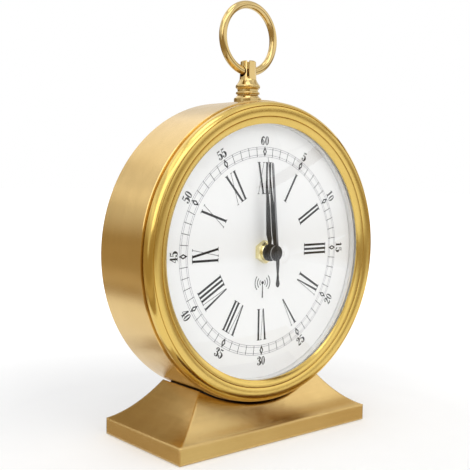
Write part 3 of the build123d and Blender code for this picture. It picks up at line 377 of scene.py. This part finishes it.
# Nodes whose material isn't the one that has their slot's name
OWN_MATERIALS = {
    "base_casting": "base_brass",
    "finial": "finial_brass",
    "hanging_ring": "finial_brass",
    "spacer_ring": "spacer_plastic",
    # The hour and minute wheels are black so that the gap between the hands' hubs looks dark: painted shade
    # there
    "hour_wheel": "black_plastic",
    "minute_wheel": "black_plastic",
    "minute_hand": "minute_lacquer_painted_glint",
    "second_hand": "second_lacquer_painted_sheen",
    "antenna_coil": "aerial_wire",
}


def dress_nodes():
    """Each CAD node takes its own material, or else its slot's."""
    for part in frame["record"]["subparts"]:
        mesh = nodes[part["node"]].data
        mesh.materials.clear()
        mesh.materials.append(MATERIALS[OWN_MATERIALS.get(part["node"], part["material_slot"])])


def new_object(name, points, faces, material):
    """A mesh in the scene, with one material."""
    mesh = bpy.data.meshes.new(name)
    mesh.from_pydata(points, [], faces)
    mesh.materials.append(material)
    made = bpy.data.objects.new(name, mesh)
    bpy.context.scene.collection.objects.link(made)
    return made


# Dial printing. Places on the dial are (across, up) from its middle. The track lies one lift above
# the dial's face, the figures two and the diamonds' eyes three.

ink_lift = 0.03
track_outer_radius = 57.2
track_inner_radius = 51.9
track_line_gap = 1.0
hairline = 0.2
tick_width = 0.3
diamond_radius = 54.7
diamond_half_length = 2.8
diamond_half_width = 1.35
diamond_eye_share = 0.42
arabic_radius = 60.6
arabic_height = 4.9
arabic_advance_share = 0.53
arabic_stretch = 1.16
arabic_flip_margin = 0.1
pen_weight = 1.55
roman_inner_radius = 31.6
roman_outer_radius = 49.0
roman_stem = 1.25
roman_thin = 0.26
roman_serif = 0.5
roman_serif_thickness = 0.34
roman_gap = 1.1
roman_v_width = 3.7
roman_x_width = 3.6
beacon_dot = (0.0, -17.1)
beacon_dot_radius = 0.9
beacon_foot = -25.5
beacon_stem_top_half = 0.18
beacon_stem_foot_half = 0.45
beacon_arc_radii = (2.0, 3.7, 5.5)
beacon_arc_width = 0.47
beacon_arc_half_angle = radians(42)


class Print:
    """Flat shapes printed on the dial in one ink, which lies a little above the dial's face."""

    def __init__(self, name, ink, lift):
        self.name, self.ink, self.lift = name, ink, lift
        self.points, self.faces = [], []

    def polygon(self, points):
        start = len(self.points)
        self.points += [(x * MM, dial_face - self.lift * MM, axis_height + z * MM) for x, z in points]
        self.faces.append(tuple(range(start, start + len(points))))

    def strip(self, left, right, closed=False):
        """Four-sided faces between two lines of equal count."""
        last = len(left) if closed else len(left) - 1
        for k in range(last):
            n = (k + 1) % len(left)
            self.polygon((left[k], right[k], right[n], left[n]))

    def ring(self, radius, width, centre=(0.0, 0.0), start=0.0, end=tau, steps=240):
        """A whole ring, or the stretch of it from one angle to another."""
        def arc(reach):
            return [(centre[0] + reach * cos(start + (end - start) * k / steps),
                     centre[1] + reach * sin(start + (end - start) * k / steps)) for k in range(steps + 1)]
        self.strip(arc(radius + width / 2), arc(radius - width / 2))

    def build(self):
        piece = new_object(self.name, self.points, self.faces, MATERIALS[self.ink])
        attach(piece, CLOCK)


def placed(points, turn, radius, flipped=False):
    """Points of an upright figure, moved out along a turn from twelve, head or feet outwards."""
    c, s = cos(turn), sin(turn)
    side = -1 if flipped else 1
    sided = [(side * x, radius + side * z) for x, z in points]
    return [(x * c + z * s, z * c - x * s) for x, z in sided]


def smooth_line(points, steps=6):
    """Points of (across, up, width) joined by a smooth curve through them all."""
    ends = [points[0]] + list(points) + [points[-1]]
    line = []
    for k in range(len(points) - 1):
        a, b, c, d = ends[k:k + 4]
        for step in range(steps):
            t = step / steps
            line.append(tuple(b[i] + 0.5 * t * (c[i] - a[i] + t * (2 * a[i] - 5 * b[i] + 4 * c[i] - d[i]
                        + t * (3 * (b[i] - c[i]) + d[i] - a[i]))) for i in range(3)))
    line.append(tuple(points[-1]))
    return line


def pen_stroke(points):
    """The two sides of a stroke whose width changes along it."""
    line = smooth_line(points)
    left, right = [], []
    for k, (x, z, width) in enumerate(line):
        before, after = line[max(k - 1, 0)], line[min(k + 1, len(line) - 1)]
        dx, dz = after[0] - before[0], after[1] - before[1]
        size = hypot(dx, dz) or 1.0
        half = pen_weight * width / 2
        left.append((x - dz / size * half, z + dx / size * half))
        right.append((x + dz / size * half, z - dx / size * half))
    return left, right


def oval(centre, across, up, steps=28):
    turns = [tau * k / steps for k in range(steps)]
    return [(centre[0] + across * cos(turn), centre[1] + up * sin(turn)) for turn in turns]


def ball(across, up):
    """The round end of a thin stroke."""
    return oval((across, up), 0.09, 0.09)


def slab(left, low, right, high):
    return [(left, low), (right, low), (right, high), (left, high)]


# Digits in a box one high and about half as wide. Strokes are points of (across, up, width),
# rings are an outer and an inner oval, and shapes are filled.
DIGITS = {
    "0": {"rings": [(oval((0.25, 0.5), 0.23, 0.5), oval((0.25, 0.5), 0.08, 0.455))]},
    "1": {"shapes": [slab(0.17, 0, 0.35, 1), slab(0.06, 0, 0.46, 0.06),
                     [(0.07, 0.83), (0.07, 0.775), (0.17, 0.85), (0.17, 1)]]},
    "2": {"strokes": [[(0.06, 0.74, 0.03), (0.10, 0.91, 0.04), (0.24, 0.98, 0.05), (0.38, 0.88, 0.11),
                       (0.40, 0.72, 0.14), (0.31, 0.50, 0.09), (0.15, 0.24, 0.04), (0.05, 0.06, 0.03)],
                      [(0.05, 0.06, 0.04), (0.15, 0.10, 0.11), (0.31, 0.06, 0.12), (0.41, 0.10, 0.06),
                       (0.44, 0.27, 0.025)]],
          "shapes": [ball(0.11, 0.75)]},
    "3": {"strokes": [[(0.06, 0.80, 0.03), (0.10, 0.92, 0.035), (0.23, 0.98, 0.045), (0.36, 0.89, 0.11),
                       (0.37, 0.74, 0.13), (0.30, 0.59, 0.07), (0.17, 0.53, 0.035)],
                      [(0.17, 0.53, 0.035), (0.33, 0.48, 0.08), (0.42, 0.32, 0.14), (0.38, 0.12, 0.12),
                       (0.24, 0.02, 0.045), (0.10, 0.06, 0.035), (0.05, 0.19, 0.03)]],
          "shapes": [ball(0.11, 0.79), ball(0.10, 0.20)]},
    "4": {"strokes": [[(0.34, 0.98, 0.04), (0.18, 0.64, 0.04), (0.03, 0.30, 0.03)]],
          "shapes": [slab(0.26, 0, 0.43, 1), slab(0.17, 0, 0.51, 0.06), slab(0.02, 0.26, 0.51, 0.32)]},
    "5": {"strokes": [[(0.08, 0.53, 0.03), (0.19, 0.61, 0.05), (0.33, 0.58, 0.09), (0.42, 0.43, 0.14),
                       (0.42, 0.26, 0.14), (0.36, 0.09, 0.10), (0.23, 0.02, 0.045), (0.10, 0.06, 0.035),
                       (0.05, 0.17, 0.03)],
                      [(0.09, 0.99, 0.02), (0.20, 0.93, 0.08), (0.32, 0.93, 0.09), (0.42, 1.0, 0.02)]],
          "shapes": [slab(0.07, 0.52, 0.12, 0.99), ball(0.11, 0.19)]},
    "6": {"rings": [(oval((0.25, 0.30), 0.21, 0.30), oval((0.25, 0.30), 0.07, 0.255))],
          "strokes": [[(0.115, 0.30, 0.13), (0.12, 0.55, 0.13), (0.18, 0.82, 0.09), (0.31, 0.97, 0.04),
                       (0.40, 0.90, 0.03)]],
          "shapes": [ball(0.38, 0.85)]},
}


def draw_number(sheet, text, turn):
    """A number centred on the minute ring, feet inwards, or feet outwards on the dial's lower half."""
    flipped = pi / 2 + arabic_flip_margin < turn < 1.5 * pi - arabic_flip_margin
    across = arabic_height * arabic_stretch
    for place, digit in enumerate(text):
        shift = (place - len(text) / 2) * arabic_advance_share

        def on_dial(points):
            sized = [((x + shift) * across, (z - 0.5) * arabic_height) for x, z in points]
            return placed(sized, turn, arabic_radius, flipped)
        figure = DIGITS[digit]
        for outer, inner in figure.get("rings", ()):
            sheet.strip(on_dial(outer), on_dial(inner), closed=True)
        for stroke in figure.get("strokes", ()):
            left, right = pen_stroke(stroke)
            sheet.strip(on_dial(left), on_dial(right))
        for shape in figure.get("shapes", ()):
            sheet.polygon(on_dial(shape))


def slanted_bar(foot, head, width, height):
    """A straight stroke from foot to head with a short serif at each end."""
    half, reach = width / 2, width / 2 + roman_serif
    return [[(foot - half, 0), (foot + half, 0), (head + half, height), (head - half, height)],
            slab(foot - reach, 0, foot + reach, roman_serif_thickness),
            slab(head - reach, height - roman_serif_thickness, head + reach, height)]


def roman_letter(letter, left, height):
    """The strokes of a letter that starts at left, and where it ends."""
    half, thin = roman_stem / 2, roman_thin / 2
    if letter == "I":
        return slanted_bar(left + half, left + half, roman_stem, height), left + roman_stem
    if letter == "V":
        right = left + roman_v_width
        point = (left + right) / 2 + half
        strokes = [[(point - half, 0), (point, 0), (left + roman_stem, height), (left, height)],
                   [(point - thin, 0), (point + thin, 0), (right + thin, height), (right - thin, height)]]
        for middle, width in ((left + half, half), (right, thin)):
            reach = width + roman_serif
            strokes.append(slab(middle - reach, height - roman_serif_thickness, middle + reach, height))
        return strokes, right + thin
    right = left + roman_x_width + roman_stem
    return (slanted_bar(right - half, left + half, roman_stem, height)
            + slanted_bar(left + half, right - half, roman_thin, height)), right


def draw_hour(sheet, text, turn):
    """A Roman number with its feet towards the middle of the dial."""
    height = roman_outer_radius - roman_inner_radius
    left, strokes = 0.0, []
    for letter in text:
        made, right = roman_letter(letter, left, height)
        strokes += made
        left = right + roman_gap
    middle = (left - roman_gap) / 2
    for stroke in strokes:
        sheet.polygon(placed([(x - middle, z) for x, z in stroke], turn, roman_inner_radius))


def draw_beacon(sheet):
    """The radio symbol: a dot on a stem, with waves to both sides."""
    across, height = beacon_dot
    sheet.polygon(oval(beacon_dot, beacon_dot_radius, beacon_dot_radius, steps=32))
    sheet.polygon([(across - beacon_stem_top_half, height), (across - beacon_stem_foot_half, beacon_foot),
                   (across + beacon_stem_foot_half, beacon_foot), (across + beacon_stem_top_half, height)])
    for radius in beacon_arc_radii:
        for facing in (0.0, pi):
            sheet.ring(radius, beacon_arc_width, beacon_dot, facing - beacon_arc_half_angle,
                       facing + beacon_arc_half_angle, steps=24)


def print_dial():
    track = Print("dial_minute_track", "dial_grey_ink", ink_lift)
    for radius in (track_inner_radius, track_inner_radius + track_line_gap, track_outer_radius,
                   track_outer_radius - track_line_gap):
        track.ring(radius, hairline)
    track.build()
    figures = Print("dial_figures", "dial_ink", 2 * ink_lift)
    eyes = Print("dial_diamond_eyes", "dial_mark_white", 3 * ink_lift)
    tick = slab(-tick_width / 2, 0, tick_width / 2, track_outer_radius - track_inner_radius)
    diamond = [(diamond_half_width, 0), (0, diamond_half_length), (-diamond_half_width, 0),
               (0, -diamond_half_length)]
    eye = [(x * diamond_eye_share, z * diamond_eye_share) for x, z in diamond]
    for minute in range(60):
        turn = minute * tau / 60
        if minute % 5:
            figures.polygon(placed(tick, turn, track_inner_radius))
        else:
            figures.polygon(placed(diamond, turn, diamond_radius))
            eyes.polygon(placed(eye, turn, diamond_radius))
            draw_number(figures, str(minute or 60), turn)
    numerals = ("XII", "I", "II", "III", "IV", "V", "VI", "VII", "VIII", "IX", "X", "XI")
    for hour, text in enumerate(numerals):
        draw_hour(figures, text, hour * tau / 12)
    draw_beacon(figures)
    figures.build()
    eyes.build()


# Bezel, turned with finer steps than the CAD node's. Its outline's points are (depth, radius),
# with depth forward from the middle of the clock.

bezel_step = 0.8
bezel_heel = 1.2
bezel_shoulder = 22.4
bezel_front = 26.6
outer_groove_inset = 2.6
inner_groove_inset = 8.1
inner_groove_front = 25.9
pocket_inset = 8.6
lip_inset = 11.9
lip_front = 24.3
groove_width = 0.5
groove_depth = 0.5
band_bulge = 0.35
spigot_inset = 1.7
spigot_wall = 2.7
bezel_segments = 480
crease_angle = radians(25)

drum_front = -drum_low.y / MM
dial_front = -dial_face / MM
glass_seat = -gasket_face / MM
spigot_rear = -bezel_high.y / MM
drum_radius = drum_high.x / MM
bezel_radius = drum_radius - bezel_step
outer_groove_radius = bezel_radius - outer_groove_inset
inner_groove_radius = bezel_radius - inner_groove_inset
pocket_radius = bezel_radius - pocket_inset
lip_radius = bezel_radius - lip_inset
spigot_radius = drum_radius - spigot_inset
dial_pocket_radius = spigot_radius - spigot_wall


def arc_through(start, middle, end, steps=14):
    """The arc from start through middle to end, without its start."""
    (ax, ay), (bx, by), (cx, cy) = start, middle, end
    twice_area = 2 * (ax * (by - cy) + bx * (cy - ay) + cx * (ay - by))
    squares = [x * x + y * y for x, y in (start, middle, end)]
    ox = (squares[0] * (by - cy) + squares[1] * (cy - ay) + squares[2] * (ay - by)) / twice_area
    oy = (squares[0] * (cx - bx) + squares[1] * (ax - cx) + squares[2] * (bx - ax)) / twice_area
    radius = hypot(ax - ox, ay - oy)
    first, last = atan2(ay - oy, ax - ox), atan2(cy - oy, cx - ox)
    sweep = (last - first + pi) % tau - pi
    turns = [first + sweep * step / steps for step in range(1, steps)]
    return [(ox + radius * cos(turn), oy + radius * sin(turn)) for turn in turns] + [end]


def bezel_outline():
    """The bezel's section. Each corner comes with a point that its arc goes through on the way to it,
    or with None where the way is straight."""
    half_groove = groove_width / 2
    halfway = cos(pi / 4)
    band_drop = (bezel_front - inner_groove_front) / (outer_groove_radius - inner_groove_radius)
    band_edge = bezel_front - groove_width * band_drop
    heel_bend = (bezel_shoulder - (bezel_shoulder - drum_front) * halfway,
                 bezel_radius - bezel_heel * (1 - halfway))
    shoulder_bend = (bezel_shoulder + (bezel_front - bezel_shoulder) * halfway,
                     bezel_radius - outer_groove_inset * (1 - halfway))
    band_bend = ((band_edge + inner_groove_front) / 2 + band_bulge,
                 (outer_groove_radius + inner_groove_radius) / 2)
    lip_bend = ((inner_groove_front + lip_front) / 2 + half_groove,
                (inner_groove_radius + lip_radius) / 2 - half_groove)
    return [((drum_front, bezel_radius - bezel_heel), None),
            ((bezel_shoulder, bezel_radius), heel_bend),
            ((bezel_front, outer_groove_radius + half_groove), shoulder_bend),
            ((bezel_front - groove_depth, outer_groove_radius), None),
            ((band_edge, outer_groove_radius - half_groove), None),
            ((inner_groove_front, inner_groove_radius + half_groove), band_bend),
            ((inner_groove_front - groove_depth, inner_groove_radius), None),
            ((inner_groove_front, inner_groove_radius - half_groove), None),
            ((lip_front, lip_radius), lip_bend),
            ((glass_seat, lip_radius), None),
            ((glass_seat, pocket_radius), None),
            ((dial_front, pocket_radius), None),
            ((dial_front, dial_pocket_radius), None),
            ((spigot_rear, dial_pocket_radius), None),
            ((spigot_rear, spigot_radius), None),
            ((drum_front, spigot_radius), None)]


def make_bezel():
    """The bezel with its two grooves, smooth enough for the room that it reflects."""
    outline = bezel_outline()
    section = []
    for (start, _), (end, bend) in zip(outline[-1:] + outline[:-1], outline):
        section += arc_through(start, bend, end) if bend else [end]
    points, faces, count = [], [], len(section)
    for segment in range(bezel_segments):
        turn = tau * segment / bezel_segments
        points += [(radius * MM * cos(turn), -depth * MM, axis_height + radius * MM * sin(turn))
                   for depth, radius in section]
        here, there = segment * count, (segment + 1) % bezel_segments * count
        faces += [(here + k, here + (k + 1) % count, there + (k + 1) % count, there + k)
                  for k in range(count)]
    ring = new_object("turned_bezel", points, faces, MATERIALS["polished_brass"])
    ring.data.shade_smooth()
    ring.data.set_sharp_from_angle(angle=crease_angle)
    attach(ring, CLOCK)
    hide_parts("bezel")


# Studio: floor, background and lamps

floor_half_width = 6.0
lamp_target = (0, 0, 0.1)

# The floor's glow wherever it is seen, and what the camera adds to it near the clock, where the lower glow is
# a painted shade round the clock, and farther off
floor_glow = 0.4
floor_shaded_glow, floor_far_glow = -0.22, 0.25
floor_near_reach, floor_far_reach = 0.14, 0.6

# The world's strength as light and as a background
world_light = 0.7
world_seen = 1.0


def make_floor():
    """A pale floor that looks brighter away from the clock, so that only its soft shadow shows. Near the
    clock its lower glow is a painted shade.
    """
    s = Shader("studio_floor")
    grain = s.noise(s.position, scale=35.0)
    path = s.add("ShaderNodeLightPath").outputs
    seen = s.maths("MAXIMUM", path["Is Camera Ray"], s.maths("MAXIMUM", path["Is Glossy Ray"],
                                                             path["Is Transmission Ray"]))
    reach = s.add("ShaderNodeVectorMath", {0: s.position}, operation="LENGTH").outputs["Value"]
    # Less glow near the clock: painted shade round it
    shade_and_glow = s.between(reach, floor_shaded_glow, floor_far_glow, floor_near_reach, floor_far_reach)
    glow = s.maths("MULTIPLY_ADD", path["Is Camera Ray"], shade_and_glow, s.maths("MULTIPLY", seen, floor_glow))
    s.set(Base_Color=s.blend(s.between(grain, 0.0, 1.0), colour(0.80, 0.80, 0.80), colour(0.81, 0.81, 0.81)),
          Roughness=s.between(grain, 0.75, 0.8), Specular_IOR_Level=0.0, Emission_Color=colour(1, 1, 1),
          Emission_Strength=glow, Normal=s.bump(grain, 0.001 * MM, strength=0.1))
    outline = slab(-floor_half_width, -floor_half_width, floor_half_width, floor_half_width)
    corners = [(x, y, 0) for x, y in outline]
    floor = new_object("studio_floor", corners, [(0, 1, 2, 3)], s.material)


def make_world():
    """A white background, which lights the set less than it shows."""
    world = bpy.data.worlds.new("studio_world")
    bpy.context.scene.world = world
    world.use_nodes = True
    tree = world.node_tree
    tree.nodes.clear()
    path = tree.nodes.new("ShaderNodeLightPath")
    seen = path.outputs["Is Camera Ray"]
    for ray in ("Is Glossy Ray", "Is Transmission Ray"):
        either = tree.nodes.new("ShaderNodeMath")
        either.operation = "MAXIMUM"
        tree.links.new(seen, either.inputs[0])
        tree.links.new(path.outputs[ray], either.inputs[1])
        seen = either.outputs[0]
    strength = tree.nodes.new("ShaderNodeMapRange")
    strength.inputs["To Min"].default_value = world_light
    strength.inputs["To Max"].default_value = world_seen
    tree.links.new(seen, strength.inputs["Value"])
    light = tree.nodes.new("ShaderNodeBackground")
    light.inputs["Color"].default_value = colour(1, 1, 1)
    tree.links.new(strength.outputs[0], light.inputs["Strength"])
    output = tree.nodes.new("ShaderNodeOutputWorld")
    tree.links.new(light.outputs[0], output.inputs["Surface"])


def add_lamp(name, place, width, height, power):
    """A soft rectangular lamp, turned towards the clock."""
    lamp = bpy.data.lights.new(name, "AREA")
    lamp.shape = "RECTANGLE"
    lamp.size, lamp.size_y, lamp.energy = width, height, power
    holder = bpy.data.objects.new(name, lamp)
    bpy.context.scene.collection.objects.link(holder)
    holder.location = place
    holder.rotation_euler = (Vector(lamp_target) - Vector(place)).to_track_quat("-Z", "Y").to_euler()
    return holder


def make_lamps():
    """Four soft lamps. The front one doesn't show in the metal."""
    add_lamp("overhead_lamp", (-0.15, -0.05, 1.5), 0.7, 0.5, 2.5)
    add_lamp("rear_lamp", (0.0, 1.5, 1.4), 1.5, 1.0, 2)
    add_lamp("left_lamp", (-1.6, -1.0, 1.2), 1.5, 1.5, 10)
    front = add_lamp("front_lamp", (0.3, -2.2, 1.3), 1.8, 1.4, 14)
    front.visible_glossy = False


# Cards round the set, which the metal and glass reflect and the camera doesn't see.
# Turns are degrees from the back towards the left, and heights in the sky are degrees too.

UMBER = colour(0.12, 0.04, 0.001)
AMBER = colour(0.25, 0.12, 0.02)
SHADE = colour(0.36, 0.27, 0.15)
DIM = colour(0.40, 0.30, 0.16)
DUSK = colour(0.50, 0.385, 0.22)
WARM = colour(0.54, 0.43, 0.29)
HAZE = colour(0.72, 0.60, 0.42)
PALE = colour(0.90, 0.88, 0.74)
LIGHT = colour(1, 1, 1)
GLOW = colour(1.4, 1.4, 1.4)
BRIGHT = colour(2.0, 2.0, 2.0)
BRIGHTER = colour(2.2, 2.2, 2.2)
BRIGHTEST = colour(3.0, 3.0, 3.0)
ALONG_X, ALONG_Y, ALONG_Z = 0, 1, 2
room_reach = 3.0
strip_reach = 2.9
room_height = 1.6
front_room_height = 1.2
wall_foot = 0.004
wall_steps = 24
sky_reach = 1.5
table_height = 0.003
table_side = 0.164
table_rear = 0.7
contact_height = 0.0005
contact_gap = 0.3 * MM
side_card_distance = 0.3
front_card_height = 0.2
foot_card_height = 0.016
foot_card_gap = 0.5 * MM


def add_card(name, points, faces, tones, axis=ALONG_Z, one_sided=False):
    """A card whose tones are (place, colour) pairs along an axis, and fade from each to the next.
    A one-sided card shows only from behind its faces."""
    s = Shader(name)
    weave = s.noise(s.position, scale=20.0)
    place = s.parts(s.position)[axis]
    tone = tones[0][1]
    for (low, _), (high, following) in zip(tones, tones[1:]):
        tone = s.blend(s.between(place, 0.0, 1.0, low, high), tone, following)
    s.set(Base_Color=colour(0, 0, 0), Roughness=s.between(weave, 0.8, 0.9), Specular_IOR_Level=0.0,
          Emission_Color=tone, Emission_Strength=1.0)
    if one_sided:
        s.set(Alpha=s.geometry("Backfacing"))
    card = new_object(name, points, faces, s.material)
    card.visible_camera = False
    card.visible_diffuse = False
    card.visible_shadow = False
    card.visible_transmission = False


def flat_card(name, outline, height, tones, axis, one_sided=False):
    """A level card from its outline on the floor's plane."""
    add_card(name, [(x, y, height) for x, y in outline], [range(len(outline))], tones, axis, one_sided)


def wall_card(name, reach, start, end, top, tones):
    """A curved card that stands round the set, from one turn to another."""
    turns = [radians(start + (end - start) * k / wall_steps) for k in range(wall_steps + 1)]
    feet = [(-reach * sin(turn), reach * cos(turn), wall_foot) for turn in turns]
    points = feet + [(x, y, top) for x, y, z in feet]
    faces = [(k, k + 1, k + wall_steps + 2, k + wall_steps + 1) for k in range(wall_steps)]
    add_card(name, points, faces, tones)


def sky_card(name, turns, heights, tone):
    """A flat card up in the sky, from its two turns and its two heights."""
    points = [(-sky_reach * sin(radians(turn)) * cos(radians(height)),
               sky_reach * cos(radians(turn)) * cos(radians(height)), sky_reach * sin(radians(height)))
              for turn, height in slab(turns[0], heights[0], turns[1], heights[1])]
    add_card(name, points, [(0, 1, 2, 3)], [(0.0, tone)])


def make_room_cards():
    """Walls and table tops in the warm tones that the drum and the bezel reflect."""
    wall_card("left_room_card", room_reach, 5, 120, room_height,
              [(0.0, DUSK), (0.3, DUSK), (0.95, LIGHT), (1.35, GLOW)])
    wall_card("corner_room_card", room_reach, 120, 162, room_height, [(0.0, DUSK), (1.1, DUSK), (1.6, LIGHT)])
    wall_card("left_strip_card", strip_reach, 80, 102, room_height, [(0.0, LIGHT)])
    wall_card("front_room_card", room_reach, 162, 290, front_room_height,
              [(0.0, DIM), (0.04, DIM), (0.35, LIGHT), (0.7, GLOW)])
    flat_card("left_table_card", slab(-room_reach, -room_reach, -table_side, room_reach), table_height,
              [(-0.36, DUSK), (-0.25, HAZE), (-0.222, HAZE), (-0.215, DUSK)], ALONG_X)
    flat_card("right_table_card", slab(0.6, -table_rear, room_reach, table_rear), table_height,
              [(0.6, LIGHT), (0.82, DUSK)], ALONG_X)
    flat_card("front_table_card", slab(-table_side, -room_reach, room_reach, -table_rear), table_height,
              [(-1.0, DIM), (-0.7, LIGHT)], ALONG_Y)


def make_base_cards():
    """Cards that the base reflects, all painted shade in its reflections: two on the floor for its plinth,
    which stand for the floor in the clock's shadow, one behind the clock for its left slope, and one to the
    right of the clock for the dark band on its front slope. The last one is just above the plinth, for the
    foot of the bezel."""
    # Painted shade: the floor beside the plinth, darker as if in the clock's shadow, seen only in the plinth
    flat_card("left_contact_card", slab(-0.095, -0.06, base_low.x - contact_gap, 0.07), contact_height,
              [(-0.05, HAZE), (0.0, WARM)], ALONG_Y)
    flat_card("front_contact_card", slab(-0.07, -0.12, 0.12, base_low.y - contact_gap), contact_height,
              [(-0.06, PALE), (0.08, HAZE)], ALONG_X)
    side_outline = [(-0.23, 0.10), (0.10, 0.10), (0.10, 0.32), (-0.13, 0.32), (-0.165, 0.26), (-0.23, 0.225)]
    add_card("base_side_card", [(x, side_card_distance, z) for x, z in side_outline],
             [range(len(side_outline))], [(0.0, SHADE)])
    # Dark sheets with nothing real behind them, painted shade in the front slope's and the bezel foot's
    # reflections
    front_outline = [(0.140, -0.26), (0.194, -0.26), (0.194, -0.11), (0.192, -0.06), (0.200, -0.035),
                     (0.205, 0.0), (0.150, 0.0), (0.143, -0.05), (0.143, -0.12)]
    flat_card("base_front_card", front_outline, front_card_height,
              [(-0.13, UMBER), (-0.11, AMBER), (-0.07, AMBER), (-0.05, UMBER)], ALONG_Y, one_sided=True)
    foot_back = base_low.y - foot_card_gap
    foot_outline = [(-0.076, -0.056), (-0.076, foot_back), (0.06, foot_back), (0.06, -0.056)]
    flat_card("bezel_foot_card", foot_outline, foot_card_height, [(0.0, UMBER), (0.04, AMBER)], ALONG_X,
              one_sided=True)


def make_sky_cards():
    """Bright patches, and one dull one, for the highlights on the drum, the base and the bezel."""
    for name, turns, heights, tone in (("right_glow_card", (229, 247), (25, 41), GLOW),
                                       ("front_glow_card", (214, 238), (47, 63), GLOW),
                                       ("right_shade_card", (251, 268), (32, 54), HAZE),
                                       ("hip_glow_card", (115, 165), (64, 80), BRIGHTER),
                                       ("upper_left_card", (40, 102), (45, 62), BRIGHT),
                                       ("upper_corner_card", (127, 145), (45, 62), BRIGHTEST),
                                       ("upper_front_card", (145, 195), (38, 56), BRIGHTEST)):
        sky_card(name, turns, heights, tone)


# Camera, at the photograph's angle

camera_azimuth = radians(-40.33)
camera_elevation = radians(4.10)
camera_roll = radians(0.90)
camera_place = (-0.30937, -0.35808, 0.14399)
camera_lens = 64.38
camera_sensor = 36.0


def make_camera():
    back = Vector((sin(camera_azimuth) * cos(camera_elevation), -cos(camera_azimuth) * cos(camera_elevation),
                   sin(camera_elevation)))
    level = Vector((cos(camera_azimuth), sin(camera_azimuth), 0))
    upright = back.cross(level)
    right = level * cos(camera_roll) + upright * sin(camera_roll)
    up = upright * cos(camera_roll) - level * sin(camera_roll)
    camera = bpy.data.cameras.new("photo_camera")
    camera.sensor_width = camera_sensor
    camera.lens = camera_lens
    holder = bpy.data.objects.new("photo_camera", camera)
    bpy.context.scene.collection.objects.link(holder)
    turned = Matrix((right, up, back)).transposed().to_4x4()
    holder.matrix_world = Matrix.Translation(camera_place) @ turned
    bpy.context.scene.camera = holder


make_metals()
make_plastics()
make_coatings()
make_other_materials()
dress_nodes()
print_dial()
make_bezel()
make_floor()
make_world()
make_lamps()
make_room_cards()
make_base_cards()
make_sky_cards()
make_camera()

bpy.context.scene.view_settings.view_transform = "Standard"
